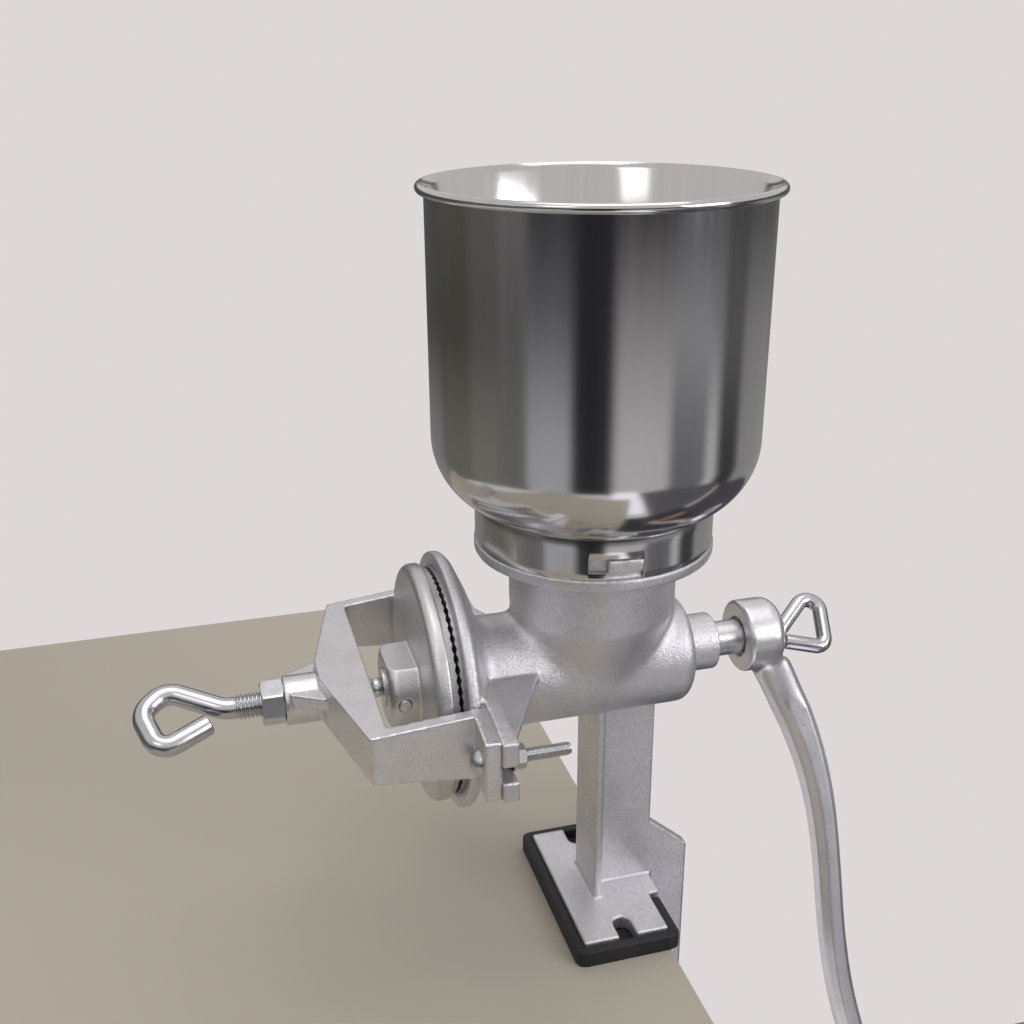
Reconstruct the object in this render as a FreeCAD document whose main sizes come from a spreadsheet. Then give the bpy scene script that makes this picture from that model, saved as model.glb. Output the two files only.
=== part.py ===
"""Hand grain mill: a cast worm mill with plate burrs, a steel hopper and a table clamp.

Millimetres and degrees. Z is up and z = 0 is the table that the rubber foot stands on. The worm
shaft lies along X, with the crank at +X and the burrs at -X, and x = y = 0 is under the hopper.
Most pieces are drawn about the shaft's line and then lifted by axis_height.
"""
import FreeCAD, Part
import math
import os
import Sketcher

Vector = FreeCAD.Vector
X_DIRECTION = Vector(1, 0, 0)
Y_DIRECTION = Vector(0, 1, 0)
Z_DIRECTION = Vector(0, 0, 1)

SIZES = {
    # shaft and bearings
    "axis_height": 124.0,
    "shaft_radius": 7.5,
    "shaft_play": 0.05,
    "shaft_thrust_end": 88.6,
    "shaft_crank_end": 84.0,
    "shaft_flat_depth": 1.6,
    "shaft_flat_start": 70.0,
    # worm
    "worm_radius": 18.8,
    "worm_pitch": 23.0,
    "worm_left": 64.0,
    "worm_right": 26.0,
    "worm_root_width": 5.2,
    "worm_crest_width": 3.0,
    # cast body
    "chamber_radius": 19.5,
    "chamber_end": 30.0,
    "barrel_radius": 23.5,
    "barrel_end": 40.0,
    "barrel_rounding": 6.0,
    "bearing_radius": 12.2,
    "bearing_end": 54.3,
    "flange_face": 62.8,
    "flange_radius": 52.0,
    "flange_lip": 1.5,
    "flange_seat_play": 0.4,
    "flange_rim": 2.1,
    "flange_bevel": 2.0,
    "flange_shoulder_radius": 40.5,
    "flange_shoulder": 54.5,
    "flange_back": 53.0,
    "flange_hollow": 7.0,
    "throat_radius": 34.0,
    "throat_low": 26.0,
    "throat_foot_radius": 22.0,
    "throat_foot": 6.0,
    "throat_hollow": 4.0,
    "spigot_wall": 4.8,
    "funnel_top_depth": 6.0,
    "funnel_mid_radius": 29.0,
    "funnel_low_radius": 18.0,
    "funnel_low": 4.0,
    "funnel_rise": 4.0,
    "ledge_proud": 0.5,
    "ledge_top": 57.0,
    "ledge_thick": 4.7,
    "spigot_play": 0.7,
    "spigot_height": 10.0,
    # bayonet of the hopper
    "lug_width": 13.5,
    "lug_proud": 0.8,
    "lug_lift": 3.4,
    "lug_height": 4.8,
    "lug_turn": -4.8,
    "bayonet_play": 0.4,
    "bayonet_travel": 8.0,
    "bayonet_lip": 3.0,
    # hopper
    "hopper_radius": 64.0,
    "hopper_sheet": 1.0,
    "hopper_wall_height": 92.9,
    "shoulder_radius": 30.0,
    "bead_radius": 1.8,
    "bead_offset": 1.4,
    "collar_radius": 47.5,
    "collar_height": 16.3,
    "lip_width": 4.5,
    # ears that carry the yoke
    "ear_reach": 75.0,
    "ear_setback": 4.3,
    "ear_bottom": 11.2,
    "ear_root_top": 16.2,
    "ear_tip_top": 12.8,
    "ear_thick": 6.0,
    "ear_slot_width": 6.6,
    "ear_rib_top": 8.7,
    "ear_rib_thick": 3.3,
    "ear_rib_length": 23.0,
    "ear_rib_inner": 22.0,
    "ear_rib_inset": 5.0,
    # burrs
    "burr_radius": 46.0,
    "burr_plate": 2.2,
    "tooth_height": 0.6,
    "tooth_sink": 0.05,
    "tooth_inset": 0.02,
    "tooth_share": 0.96,
    "tooth_count": 72.0,
    "tooth_root_radius": 24.0,
    "burr_gap": 0.8,
    "fixed_screw_ring": 31.0,
    "moving_screw_ring": 27.0,
    "burr_screw_radius": 2.0,
    "burr_screw_head": 3.8,
    "burr_screw_sink": 1.8,
    "burr_screw_length": 7.5,
    # rotor plate
    "rotor_radius": 48.0,
    "rotor_thick": 6.3,
    "rotor_rounding": 3.7,
    "rotor_spigot_radius": 10.0,
    "rotor_spigot": 1.6,
    "hub_radius": 17.5,
    "hub_length": 12.3,
    "hub_rounding": 4.0,
    "hub_flat": 13.0,
    "pin_radius": 2.5,
    "pin_half_length": 18.0,
    "pin_from_end": 5.6,
    "ball_radius": 4.0,
    "ball_play": 0.05,
    "cup_depth": 1.8,
    # yoke
    "yoke_arm_inner": 52.5,
    "yoke_arm_thick": 5.5,
    "yoke_arm_draft": 1.1,
    "yoke_bridge_inner": 95.5,
    "yoke_bridge_outer": 114.0,
    "yoke_bridge_corner": 102.5,
    "yoke_bridge_flat": 8.0,
    "yoke_top": 12.1,
    "yoke_foot_top": 15.6,
    "yoke_foot_tip_top": 12.8,
    "yoke_bottom": 10.8,
    "yoke_bridge_bottom": 7.0,
    "yoke_foot_reach": 73.3,
    "yoke_foot_thick": 6.0,
    "yoke_corner_rounding": 1.6,
    "yoke_boss_radius": 9.8,
    "yoke_boss_end": 127.5,
    "yoke_gusset_reach": 17.0,
    "yoke_gusset_low": 2.0,
    "yoke_gusset_high": 7.0,
    "yoke_gusset_inset": 2.0,
    "yoke_gusset_root": 3.0,
    # yoke fasteners
    "bolt_radius": 2.5,
    "bolt_play": 0.3,
    "bolt_ring": 63.5,
    "bolt_head_radius": 5.2,
    "bolt_head_height": 3.5,
    "bolt_end": 30.0,
    "short_bolt_end": 46.0,
    "bolt_pitch": 0.8,
    "washer_radius": 5.0,
    "washer_thick": 1.0,
    "small_nut_flats": 8.0,
    "small_nut_height": 4.0,
    # bent screws
    "screw_radius": 5.0,
    "screw_play": 0.05,
    "screw_pitch": 1.5,
    "rod_radius": 4.25,
    "screw_neck": 150.5,
    "screw_nose": 2.0,
    "screw_plain": 3.0,
    "screw_lean": -63.0,
    "locknut_flats": 16.0,
    "locknut_lean": 18.0,
    "locknut_height": 9.0,
    # crank
    "crank_lean": -20.0,
    "crank_radius": 217.0,
    "crank_hub_radius": 15.6,
    "crank_hub_left": 67.3,
    "crank_hub_right": 85.0,
    "crank_hub_recess_radius": 8.65,
    "crank_hub_recess": 2.7,
    "crank_hub_rounding": 1.5,
    "crank_hub_dome": 6.0,
    "arm_bevel": 3.0,
    "eye_radius": 10.5,
    "eye_middle": 112.0,
    "eye_thick": 13.0,
    "arm_end_inset": 1.0,
    "arm_root_drop": 11.0,
    "arm_root_offset": 4.6,
    "crank_screw_radius": 3.0,
    "crank_screw_pitch": 1.0,
    "crank_rod_radius": 3.25,
    "crank_screw_lean": -50.0,
    "crank_screw_reach": 20.0,
    "crank_screw_gap": 0.3,
    "crank_screw_plain": 0.5,
    "crank_thread_spare": 2.0,
    "crank_washer_radius": 9.0,
    "crank_washer_thick": 1.5,
    # grip
    "grip_length": 92.0,
    "grip_radius": 15.0,
    "grip_neck_radius": 11.0,
    "grip_swell": 0.5,
    "grip_end_rounding": 5.0,
    "spindle_radius": 4.0,
    "spindle_play": 0.1,
    "spindle_head_radius": 7.5,
    "spindle_head_height": 4.5,
    "grip_washer_radius": 9.0,
    "grip_washer_thick": 1.5,
    "grip_nut_flats": 13.0,
    "grip_nut_height": 6.5,
    "spindle_pitch": 1.25,
    "spindle_proud": 2.0,
    # pedestal and base
    "pedestal_plate_face": 0.5,
    "pedestal_plate_thick": 3.5,
    "pedestal_plate_half_width": 13.4,
    "web_thick": 5.6,
    "web_back": 29.4,
    "web_flare_top": 86.8,
    "web_flare_end": 103.0,
    "leg_back": 48.0,
    "leg_face": 24.5,
    "leg_plate_thick": 5.0,
    "leg_plate_half_width": 16.0,
    "base_front": 13.6,
    "base_half_width": 39.1,
    "base_thick": 7.0,
    "base_slot_middle": 6.0,
    "base_slot_width": 8.0,
    "base_slot_depth": 12.0,
    "pad_floor": 2.0,
    "pad_rim_height": 7.4,
    "pad_rim_thick": 4.4,
    "pad_play": 0.1,
    "pad_rounding": 4.0,
    "pad_gap": 1.5,
    # clamp
    "jaw_depth": 58.0,
    "jaw_plate_thick": 5.0,
    "jaw_web_end": 20.0,
    "jaw_web_height": 27.0,
    "jaw_corner_rounding": 12.0,
    "clamp_middle": 5.0,
    "clamp_boss_radius": 12.0,
    "clamp_boss_rise": 3.0,
    "clamp_boss_height": 22.0,
    "clamp_opening": 26.0,
    "clamp_plate_radius": 13.0,
    "clamp_plate_thick": 5.0,
    "clamp_plate_bevel": 1.0,
    "clamp_socket_radius": 7.5,
    "clamp_socket_height": 6.5,
    "clamp_ball_radius": 4.0,
    "clamp_neck_radius": 2.8,
    "clamp_neck_length": 3.0,
    "clamp_screw_length": 78.0,
}

# Distance that a feature reaches into the one it joins, or that a cut runs past a face
BITE = 1.0
# Depth of a thread as a share of its pitch
THREAD_DEPTH = 0.61
# The rod that the bent loops below were measured on
LOOP_ROD = 4.25
THUMB_LOOP_ROD = 3.25
# The arm that its sections below were measured on
ARM_LENGTH = 217.0

doc = FreeCAD.newDocument("grain_mill")
sheet = doc.addObject("Spreadsheet::Sheet", "sizes")
for row, (name, number) in enumerate(SIZES.items(), 1):
    sheet.set(f"A{row}", name)
    sheet.set(f"B{row}", str(number))
    sheet.setAlias(f"B{row}", name)
doc.recompute()


class Size:
    """A number together with the sheet expression that gives it."""

    def __init__(self, number, text):
        self.number = number
        self.text = text

    def __float__(self):
        return float(self.number)

    def __add__(self, other):
        other = as_size(other)
        return Size(self.number + other.number, f"({self.text} + {other.text})")

    def __sub__(self, other):
        other = as_size(other)
        return Size(self.number - other.number, f"({self.text} - {other.text})")

    def __mul__(self, other):
        other = as_size(other)
        return Size(self.number * other.number, f"({self.text} * {other.text})")

    def __truediv__(self, other):
        other = as_size(other)
        return Size(self.number / other.number, f"({self.text} / {other.text})")

    def __neg__(self):
        return Size(-self.number, f"(0 - {self.text})")

    def __rsub__(self, other):
        return as_size(other) - self

    __radd__ = __add__
    __rmul__ = __mul__


def as_size(value):
    if isinstance(value, Size):
        return value
    return Size(float(value), f"({float(value)})")


def root(size):
    return Size(math.sqrt(size.number), f"sqrt({size.text})")


class Sheet:
    """Every driving dimension as a Size, by its name."""

    def __getattr__(self, name):
        return Size(float(sheet.get(name)), f"sizes.{name}")


dim = Sheet()


def tie(thing, path, value):
    thing.setExpression(path, as_size(value).text)


def new_body(label, lift=None, lean=None):
    """An empty body drawn about the shaft's line, leaned about X and lifted into place."""
    body = doc.addObject("PartDesign::Body", label)
    body.Label = label
    body.Placement = FreeCAD.Placement(Vector(), FreeCAD.Rotation(X_DIRECTION, 1.0))
    tie(body, "Placement.Base.z", dim.axis_height if lift is None else lift)
    tie(body, "Placement.Rotation.Angle", 0.0 if lean is None else lean)
    return body


def origin_feature(body, role):
    return [item for item in body.Origin.OriginFeatures if item.Role == role][0]


def new_sketch(body, name, plane, offset=0.0, turn=None):
    """A sketch on one of the body's planes, moved along the plane's normal and turned on it."""
    sketch = body.newObject("Sketcher::SketchObject", name)
    sketch.AttachmentSupport = [(origin_feature(body, plane + "_Plane"), "")]
    sketch.MapMode = "FlatFace"
    sketch.AttachmentOffset = FreeCAD.Placement(Vector(), FreeCAD.Rotation(Z_DIRECTION, 1.0))
    tie(sketch, "AttachmentOffset.Base.z", offset)
    tie(sketch, "AttachmentOffset.Rotation.Angle", 0.0 if turn is None else turn)
    return sketch


def pin_point(sketch, edge, end, x, y):
    for kind, value in (("DistanceX", as_size(x)), ("DistanceY", as_size(y))):
        index = sketch.addConstraint(Sketcher.Constraint(kind, -1, 1, edge, end, value.number))
        sketch.setExpression(f"Constraints[{index}]", value.text)


def outline(body, name, plane, corners, offset=0.0, turn=None):
    """A closed outline. A corner (x, y, radius) is reached by an arc, to the left if radius > 0."""
    sketch = new_sketch(body, name, plane, offset, turn)
    points = [Vector(float(corner[0]), float(corner[1]), 0) for corner in corners]
    ends = []
    for index, corner in enumerate(corners):
        begin, end = points[index - 1], points[index]
        if len(corner) == 2:
            sketch.addGeometry(Part.LineSegment(begin, end))
            ends.append((1, 2))
            continue
        radius = abs(float(corner[2]))
        left = float(corner[2]) > 0
        chord = end - begin
        side = Vector(-chord.y, chord.x, 0).normalize()
        rise = math.sqrt(max(radius ** 2 - (chord.Length / 2) ** 2, 0.0))
        centre = (begin + end) / 2 + side * (rise if left else -rise)
        first, last = (begin, end) if left else (end, begin)
        start_angle = math.atan2(first.y - centre.y, first.x - centre.x)
        end_angle = math.atan2(last.y - centre.y, last.x - centre.x)
        if end_angle < start_angle:
            end_angle += 2 * math.pi
        circle = Part.Circle(centre, Z_DIRECTION, radius)
        sketch.addGeometry(Part.ArcOfCircle(circle, start_angle, end_angle))
        ends.append((1, 2) if left else (2, 1))
    count = len(corners)
    for index in range(count):
        following = (index + 1) % count
        join = Sketcher.Constraint("Coincident", index, ends[index][1], following, ends[following][0])
        sketch.addConstraint(join)
    for index, corner in enumerate(corners):
        pin_point(sketch, index, ends[index][1], corner[0], corner[1])
        if len(corner) == 3:
            size = as_size(corner[2])
            size = size if size.number > 0 else -size
            number = sketch.addConstraint(Sketcher.Constraint("Radius", index, size.number))
            sketch.setExpression(f"Constraints[{number}]", size.text)
    return sketch


def circles(body, name, plane, rings, offset=0.0):
    """A sketch of full circles, each (x, y, radius)."""
    sketch = new_sketch(body, name, plane, offset)
    for x, y, radius in rings:
        centre = Vector(float(x), float(y), 0)
        index = sketch.addGeometry(Part.Circle(centre, Z_DIRECTION, float(radius)))
        pin_point(sketch, index, 3, x, y)
        number = sketch.addConstraint(Sketcher.Constraint("Radius", index, float(radius)))
        sketch.setExpression(f"Constraints[{number}]", as_size(radius).text)
    return sketch


def box_corners(low_x, low_y, high_x, high_y):
    return [(low_x, low_y), (high_x, low_y), (high_x, high_y), (low_x, high_y)]


def hexagon(body, name, plane, flats, x, y, offset=0.0, turn=None):
    """The outline of a nut, with two flats level unless it is turned."""
    reach = flats / 2
    side = flats / 2 / math.sqrt(3)
    corners = [(x + side, y + reach), (x - side, y + reach), (x - side * 2, y)]
    corners += [(x - side, y - reach), (x + side, y - reach), (x + side * 2, y)]
    return outline(body, name, plane, corners, offset, turn)


def feature(body, kind, sketch, cuts=False):
    """A PartDesign feature of one sketch. A feature that cuts must take something away."""
    before = body.Shape.Volume if cuts else 0.0
    made = body.newObject("PartDesign::" + kind, kind.lower() + "_" + sketch.Name)
    made.Profile = sketch
    return made, before


def settle(body, made, before, cuts=False):
    body.Tip = made
    doc.recompute()
    if "Invalid" in made.State or "Error" in made.State:
        raise RuntimeError(f"{body.Label}: {made.Name} failed")
    if cuts and not body.Shape.Volume < before - 1e-6:
        raise RuntimeError(f"{body.Label}: {made.Name} cuts nothing")
    return made


def revolve(body, sketch, axis, cuts=False):
    made, before = feature(body, "Groove" if cuts else "Revolution", sketch, cuts)
    made.ReferenceAxis = (sketch, [axis])
    made.Angle = 360
    return settle(body, made, before, cuts)


def pad(body, sketch, length, reverse=False, middle=False, cuts=False):
    made, before = feature(body, "Pocket" if cuts else "Pad", sketch, cuts)
    tie(made, "Length", length)
    made.Reversed = reverse
    if middle:
        made.SideType = "Symmetric"
    return settle(body, made, before, cuts)


def around(body, features, axis, count):
    """Copies of features, evenly spaced about one of the body's axes."""
    made = body.newObject("PartDesign::PolarPattern", "pattern_" + features[-1].Name)
    made.Originals = features
    made.Axis = (origin_feature(body, axis + "_Axis"), [""])
    made.Angle = 360
    made.Occurrences = count
    return settle(body, made, 0.0)


def soften(body, radius, spots, kind="Fillet"):
    """Round the edges whose middles lie nearest to the given spots."""
    base = body.Tip
    names = []
    for spot in spots:
        place = Vector(*[float(value) for value in spot])
        gaps = []
        for index, edge in enumerate(base.Shape.Edges, 1):
            middle = edge.valueAt((edge.FirstParameter + edge.LastParameter) / 2)
            gaps.append((middle.distanceToPoint(place), f"Edge{index}"))
        nearest = min(gaps)[1]
        if nearest not in names:
            names.append(nearest)
    made = body.newObject("PartDesign::" + kind, f"{kind.lower()}_{base.Name}")
    made.Base = (base, names)
    tie(made, "Radius" if kind == "Fillet" else "Size", radius)
    return settle(body, made, 0.0)


def ridged_rod(start, end, core, crest, pitch, plain=0.0):
    """A rod along X with ring ridges for its thread, from start up to end, plain at its start."""
    begin = start + plain
    count = max(int(round((end - begin) / pitch)), 1)
    step = (end - begin) / count
    corners = [Vector(start, 0, 0), Vector(start, 0, core)]
    for index in range(count):
        corners.append(Vector(begin + index * step, 0, core))
        corners.append(Vector(begin + (index + 0.5) * step, 0, crest))
    corners += [Vector(end, 0, core), Vector(end, 0, 0)]
    tidy = [corners[0]]
    for corner in corners[1:]:
        if (corner - tidy[-1]).Length > 1e-6:
            tidy.append(corner)
    face = Part.Face(Part.makePolygon(tidy + [tidy[0]]))
    return face.revolve(Vector(), X_DIRECTION, 360)


def bent_rod(corners, radii, rod_radius):
    """A round rod along straight runs joined by tangent arcs. corners are (x, z) in the XZ plane."""
    points = [Vector(x, 0, z) for x, z in corners]
    edges = []
    reached = points[0]
    for index in range(1, len(points) - 1):
        back = (points[index - 1] - points[index]).normalize()
        ahead = (points[index + 1] - points[index]).normalize()
        half = back.getAngle(ahead) / 2
        trim = radii[index - 1] / math.tan(half)
        enter = points[index] + back * trim
        leave = points[index] + ahead * trim
        bisector = (back + ahead).normalize()
        crown = points[index] + bisector * (radii[index - 1] / math.sin(half) - radii[index - 1])
        edges.append(Part.LineSegment(reached, enter).toShape())
        edges.append(Part.Arc(enter, crown, leave).toShape())
        reached = leave
    edges.append(Part.LineSegment(reached, points[-1]).toShape())
    path = Part.Wire(edges)
    heading = (points[1] - points[0]).normalize()
    section = Part.Wire(Part.makeCircle(rod_radius, points[0], heading))
    rod = path.makePipeShell([section], True, False)
    if not rod.isValid() or abs(rod.Volume / (math.pi * rod_radius ** 2 * path.Length) - 1) > 0.01:
        raise RuntimeError("a bent rod folds over itself")
    return rod


def shaped(label, shape, turn_axis=X_DIRECTION, turn=0.0, place=None, drop=0.0):
    """A sub-part whose shape is made by functions, dropped, turned and then put in its place."""
    item = doc.addObject("Part::Feature", label)
    item.Label = label
    item.Shape = shape
    base = place if place is not None else Vector(0, 0, float(dim.axis_height))
    turned = FreeCAD.Placement(base, FreeCAD.Rotation(turn_axis, turn))
    item.Placement = turned.multiply(FreeCAD.Placement(Vector(0, 0, -drop), FreeCAD.Rotation()))
    return item


# Heights and places that several pieces share
bowl_base = dim.ledge_top + dim.collar_height
collar_inside = dim.collar_radius - dim.hopper_sheet
lip_radius = dim.collar_radius - dim.lip_width
spigot_radius = collar_inside - dim.spigot_play
ledge_radius = dim.collar_radius + dim.ledge_proud
wall_centre_radius = dim.hopper_radius - dim.shoulder_radius
shoulder_run = dim.collar_radius - wall_centre_radius
shoulder_drop = root(dim.shoulder_radius * dim.shoulder_radius - shoulder_run * shoulder_run)
shoulder_height = bowl_base + shoulder_drop
bead_height = shoulder_height + dim.hopper_wall_height
fixed_burr_front = -(dim.flange_face + dim.burr_plate)
moving_tips = -(dim.flange_face + dim.burr_plate + dim.tooth_height + dim.burr_gap)
moving_burr_front = moving_tips - dim.tooth_height
rotor_front = moving_burr_front - dim.burr_plate
rotor_back = rotor_front - dim.rotor_thick
hub_end = rotor_back - dim.hub_length
ear_front = -(dim.flange_face - dim.ear_setback)
ear_back = ear_front + dim.ear_thick
base_top = -(dim.axis_height - dim.pad_floor - dim.base_thick)
base_bottom = -(dim.axis_height - dim.pad_floor)
table = -dim.axis_height
jaw_top = table - dim.jaw_depth


def mill_body():
    """The casting: hopper throat, worm barrel, burr flange, ears, pedestal, base and clamp."""
    body = new_body("mill_body")
    flange_end = dim.flange_rim - dim.flange_face
    bevel_end = flange_end + dim.flange_bevel
    seat_radius = dim.burr_radius + dim.flange_seat_play
    barrel = outline(body, "barrel", "XZ", [
        (-dim.flange_face, 0),
        (-dim.flange_face, seat_radius),
        (-(dim.flange_face + dim.flange_lip), seat_radius),
        (-(dim.flange_face + dim.flange_lip), dim.flange_radius),
        (flange_end, dim.flange_radius),
        (bevel_end, dim.flange_radius - dim.flange_bevel),
        (-dim.flange_shoulder, dim.flange_shoulder_radius),
        (-dim.flange_back, dim.barrel_radius + dim.flange_hollow),
        (dim.flange_hollow - dim.flange_back, dim.barrel_radius, dim.flange_hollow),
        (dim.barrel_end - dim.barrel_rounding, dim.barrel_radius),
        (dim.barrel_end, dim.barrel_radius - dim.barrel_rounding, -dim.barrel_rounding),
        (dim.barrel_end, dim.bearing_radius),
        (dim.bearing_end, dim.bearing_radius),
        (dim.bearing_end, 0),
    ])
    revolve(body, barrel, "H_Axis")
    ledge_bottom = dim.ledge_top - dim.ledge_thick
    throat = outline(body, "throat", "XZ", [
        (0, -dim.throat_foot),
        (dim.throat_foot_radius, -dim.throat_foot),
        (dim.throat_radius, dim.throat_low),
        (dim.throat_radius, ledge_bottom - dim.throat_hollow),
        (dim.throat_radius + dim.throat_hollow, ledge_bottom, -dim.throat_hollow),
        (ledge_radius, ledge_bottom),
        (ledge_radius, dim.ledge_top),
        (spigot_radius, dim.ledge_top),
        (spigot_radius, dim.ledge_top + dim.spigot_height),
        (0, dim.ledge_top + dim.spigot_height),
    ])
    revolve(body, throat, "V_Axis")

    lug_outer = dim.collar_radius + dim.lug_proud
    lug = outline(body, "lug", "XY", box_corners(
        -dim.lug_width / 2, -lug_outer, dim.lug_width / 2, dim.funnel_mid_radius - lug_outer),
        offset=dim.ledge_top + dim.lug_lift, turn=dim.lug_turn)
    lug_pad = pad(body, lug, dim.lug_height)
    around(body, [lug_pad], "Z", 2)

    ear_root = dim.flange_radius - dim.flange_bevel
    ear = outline(body, "ears", "YZ", [
        (-dim.ear_reach, -dim.ear_bottom),
        (dim.ear_reach, -dim.ear_bottom),
        (dim.ear_reach, dim.ear_tip_top),
        (ear_root, dim.ear_root_top),
        (-ear_root, dim.ear_root_top),
        (-dim.ear_reach, dim.ear_tip_top),
    ], offset=ear_front)
    pad(body, ear, dim.ear_thick)
    rib_root = ear_back - BITE
    rib_end = dim.ear_reach - dim.ear_rib_inset
    rib = outline(body, "ear_rib", "XY", [
        (rib_root, -rib_end),
        (ear_back + dim.ear_rib_length, -dim.ear_rib_inner),
        (ear_back + dim.ear_rib_length, dim.ear_rib_inner),
        (rib_root, rib_end),
    ], offset=dim.ear_rib_top - dim.ear_rib_thick)
    pad(body, rib, dim.ear_rib_thick)

    plate_front = -dim.pedestal_plate_face
    plate_back = plate_front + dim.pedestal_plate_thick
    inside_barrel = -dim.chamber_radius / 2
    plate = outline(body, "pedestal_plate", "XZ", box_corners(
        plate_front, base_top - BITE, plate_back, inside_barrel))
    pad(body, plate, dim.pedestal_plate_half_width * 2, middle=True)
    jaw_bottom = jaw_top - dim.jaw_web_height
    jaw_under = jaw_top - dim.jaw_plate_thick
    corner = dim.jaw_corner_rounding
    leg_inside = dim.leg_face + dim.leg_plate_thick / 2
    web = outline(body, "web", "XZ", [
        (plate_back - BITE, inside_barrel),
        (dim.web_back, inside_barrel),
        (dim.web_back, -dim.web_flare_top),
        (dim.leg_back, -dim.web_flare_end),
        (dim.leg_back, jaw_bottom + corner),
        (dim.leg_back - corner, jaw_bottom, -corner),
        (dim.clamp_middle, jaw_top - dim.jaw_web_end),
        (dim.clamp_middle, jaw_under + BITE),
        (leg_inside, jaw_under + BITE),
        (leg_inside, base_bottom + BITE),
        (plate_back - BITE, base_bottom + BITE),
    ])
    pad(body, web, dim.web_thick, middle=True)
    base = outline(body, "base", "XY", box_corners(
        -dim.base_front, -dim.base_half_width, dim.leg_face, dim.base_half_width),
        offset=base_bottom)
    pad(body, base, dim.base_thick)
    leg_back_face = dim.leg_face + dim.leg_plate_thick
    leg = outline(body, "leg_plate", "XZ", [
        (dim.leg_face, base_top),
        (dim.leg_face, jaw_top),
        (dim.clamp_middle - dim.clamp_boss_radius, jaw_top),
        (dim.clamp_middle - dim.clamp_boss_radius, jaw_under),
        (leg_back_face, jaw_under),
        (leg_back_face, base_top),
    ])
    pad(body, leg, dim.leg_plate_half_width * 2, middle=True)
    boss_top = jaw_top + dim.clamp_boss_rise
    clamp_boss = circles(body, "clamp_boss", "XY", [(dim.clamp_middle, 0, dim.clamp_boss_radius)],
                         offset=boss_top)
    pad(body, clamp_boss, dim.clamp_boss_height, reverse=True)

    spigot_top = dim.ledge_top + dim.spigot_height
    mouth_radius = spigot_radius - dim.spigot_wall
    funnel = outline(body, "funnel", "XZ", [
        (0, dim.funnel_low),
        (dim.funnel_low_radius, dim.funnel_low),
        (dim.funnel_mid_radius, dim.throat_low + dim.funnel_rise),
        (dim.funnel_mid_radius, ledge_bottom),
        (mouth_radius, spigot_top - dim.funnel_top_depth),
        (mouth_radius, spigot_top + BITE),
        (0, spigot_top + BITE),
    ])
    revolve(body, funnel, "V_Axis", cuts=True)
    bore_radius = dim.shaft_radius + dim.shaft_play
    chamber = outline(body, "chamber", "XZ", [
        (-dim.flange_face - BITE, 0),
        (-dim.flange_face - BITE, dim.chamber_radius),
        (dim.chamber_end, dim.chamber_radius),
        (dim.chamber_end, bore_radius),
        (dim.bearing_end + BITE, bore_radius),
        (dim.bearing_end + BITE, 0),
    ])
    revolve(body, chamber, "H_Axis", cuts=True)

    slot_inner = dim.bolt_ring - dim.bolt_radius
    slot = outline(body, "ear_slot", "YZ", box_corners(
        slot_inner, -dim.ear_slot_width / 2, dim.ear_reach + BITE, dim.ear_slot_width / 2),
        offset=ear_front)
    slot_cut = pad(body, slot, dim.ear_thick, reverse=True, cuts=True)
    slot_end = circles(body, "ear_slot_end", "YZ", [(slot_inner, 0, dim.ear_slot_width / 2)],
                       offset=ear_front)
    end_cut = pad(body, slot_end, dim.ear_thick, reverse=True, cuts=True)
    around(body, [slot_cut, end_cut], "X", 2)

    half_slot = dim.base_slot_width / 2
    slot_reach = dim.base_half_width - dim.base_slot_depth + half_slot
    foot_slot = outline(body, "base_slot", "XY", box_corners(
        dim.base_slot_middle - half_slot, slot_reach,
        dim.base_slot_middle + half_slot, dim.base_half_width + BITE), offset=base_top)
    pad(body, foot_slot, dim.base_thick, cuts=True)
    other_slot = outline(body, "base_slot_front", "XY", box_corners(
        dim.base_slot_middle - half_slot, -(dim.base_half_width + BITE),
        dim.base_slot_middle + half_slot, -slot_reach), offset=base_top)
    pad(body, other_slot, dim.base_thick, cuts=True)
    slot_ends = circles(body, "base_slot_ends", "XY", [
        (dim.base_slot_middle, slot_reach, half_slot),
        (dim.base_slot_middle, -slot_reach, half_slot)], offset=base_top)
    pad(body, slot_ends, dim.base_thick, cuts=True)

    screw_hole = circles(body, "burr_screw_hole", "YZ", [
        (0, dim.fixed_screw_ring, dim.burr_screw_radius + dim.shaft_play)], offset=-dim.flange_face)
    hole_cut = pad(body, screw_hole, dim.burr_screw_length, reverse=True, cuts=True)
    around(body, [hole_cut], "X", 3)
    thread = circles(body, "clamp_thread", "XY", [
        (dim.clamp_middle, 0, dim.screw_radius + dim.screw_play)], offset=boss_top)
    pad(body, thread, dim.clamp_boss_height + dim.jaw_web_height, cuts=True)


def hopper_bowl():
    """A spun steel bowl: straight wall, round shoulder, flat lip below and a rolled rim."""
    body = new_body("hopper_bowl")
    inner_radius = dim.shoulder_radius - dim.hopper_sheet
    lip_top = bowl_base + dim.hopper_sheet
    inner_drop = shoulder_drop - dim.hopper_sheet
    inner_crease = wall_centre_radius + root(inner_radius * inner_radius - inner_drop * inner_drop)
    wall = outline(body, "bowl_wall", "XZ", [
        (lip_radius, bowl_base),
        (dim.collar_radius, bowl_base),
        (dim.hopper_radius, shoulder_height, dim.shoulder_radius),
        (dim.hopper_radius, bead_height),
        (dim.hopper_radius - dim.hopper_sheet, bead_height),
        (dim.hopper_radius - dim.hopper_sheet, shoulder_height),
        (inner_crease, lip_top, -inner_radius),
        (lip_radius, lip_top),
    ])
    revolve(body, wall, "V_Axis")
    bead = circles(body, "rolled_rim", "XZ", [
        (dim.hopper_radius + dim.bead_offset, bead_height, dim.bead_radius)])
    revolve(body, bead, "V_Axis")


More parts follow.
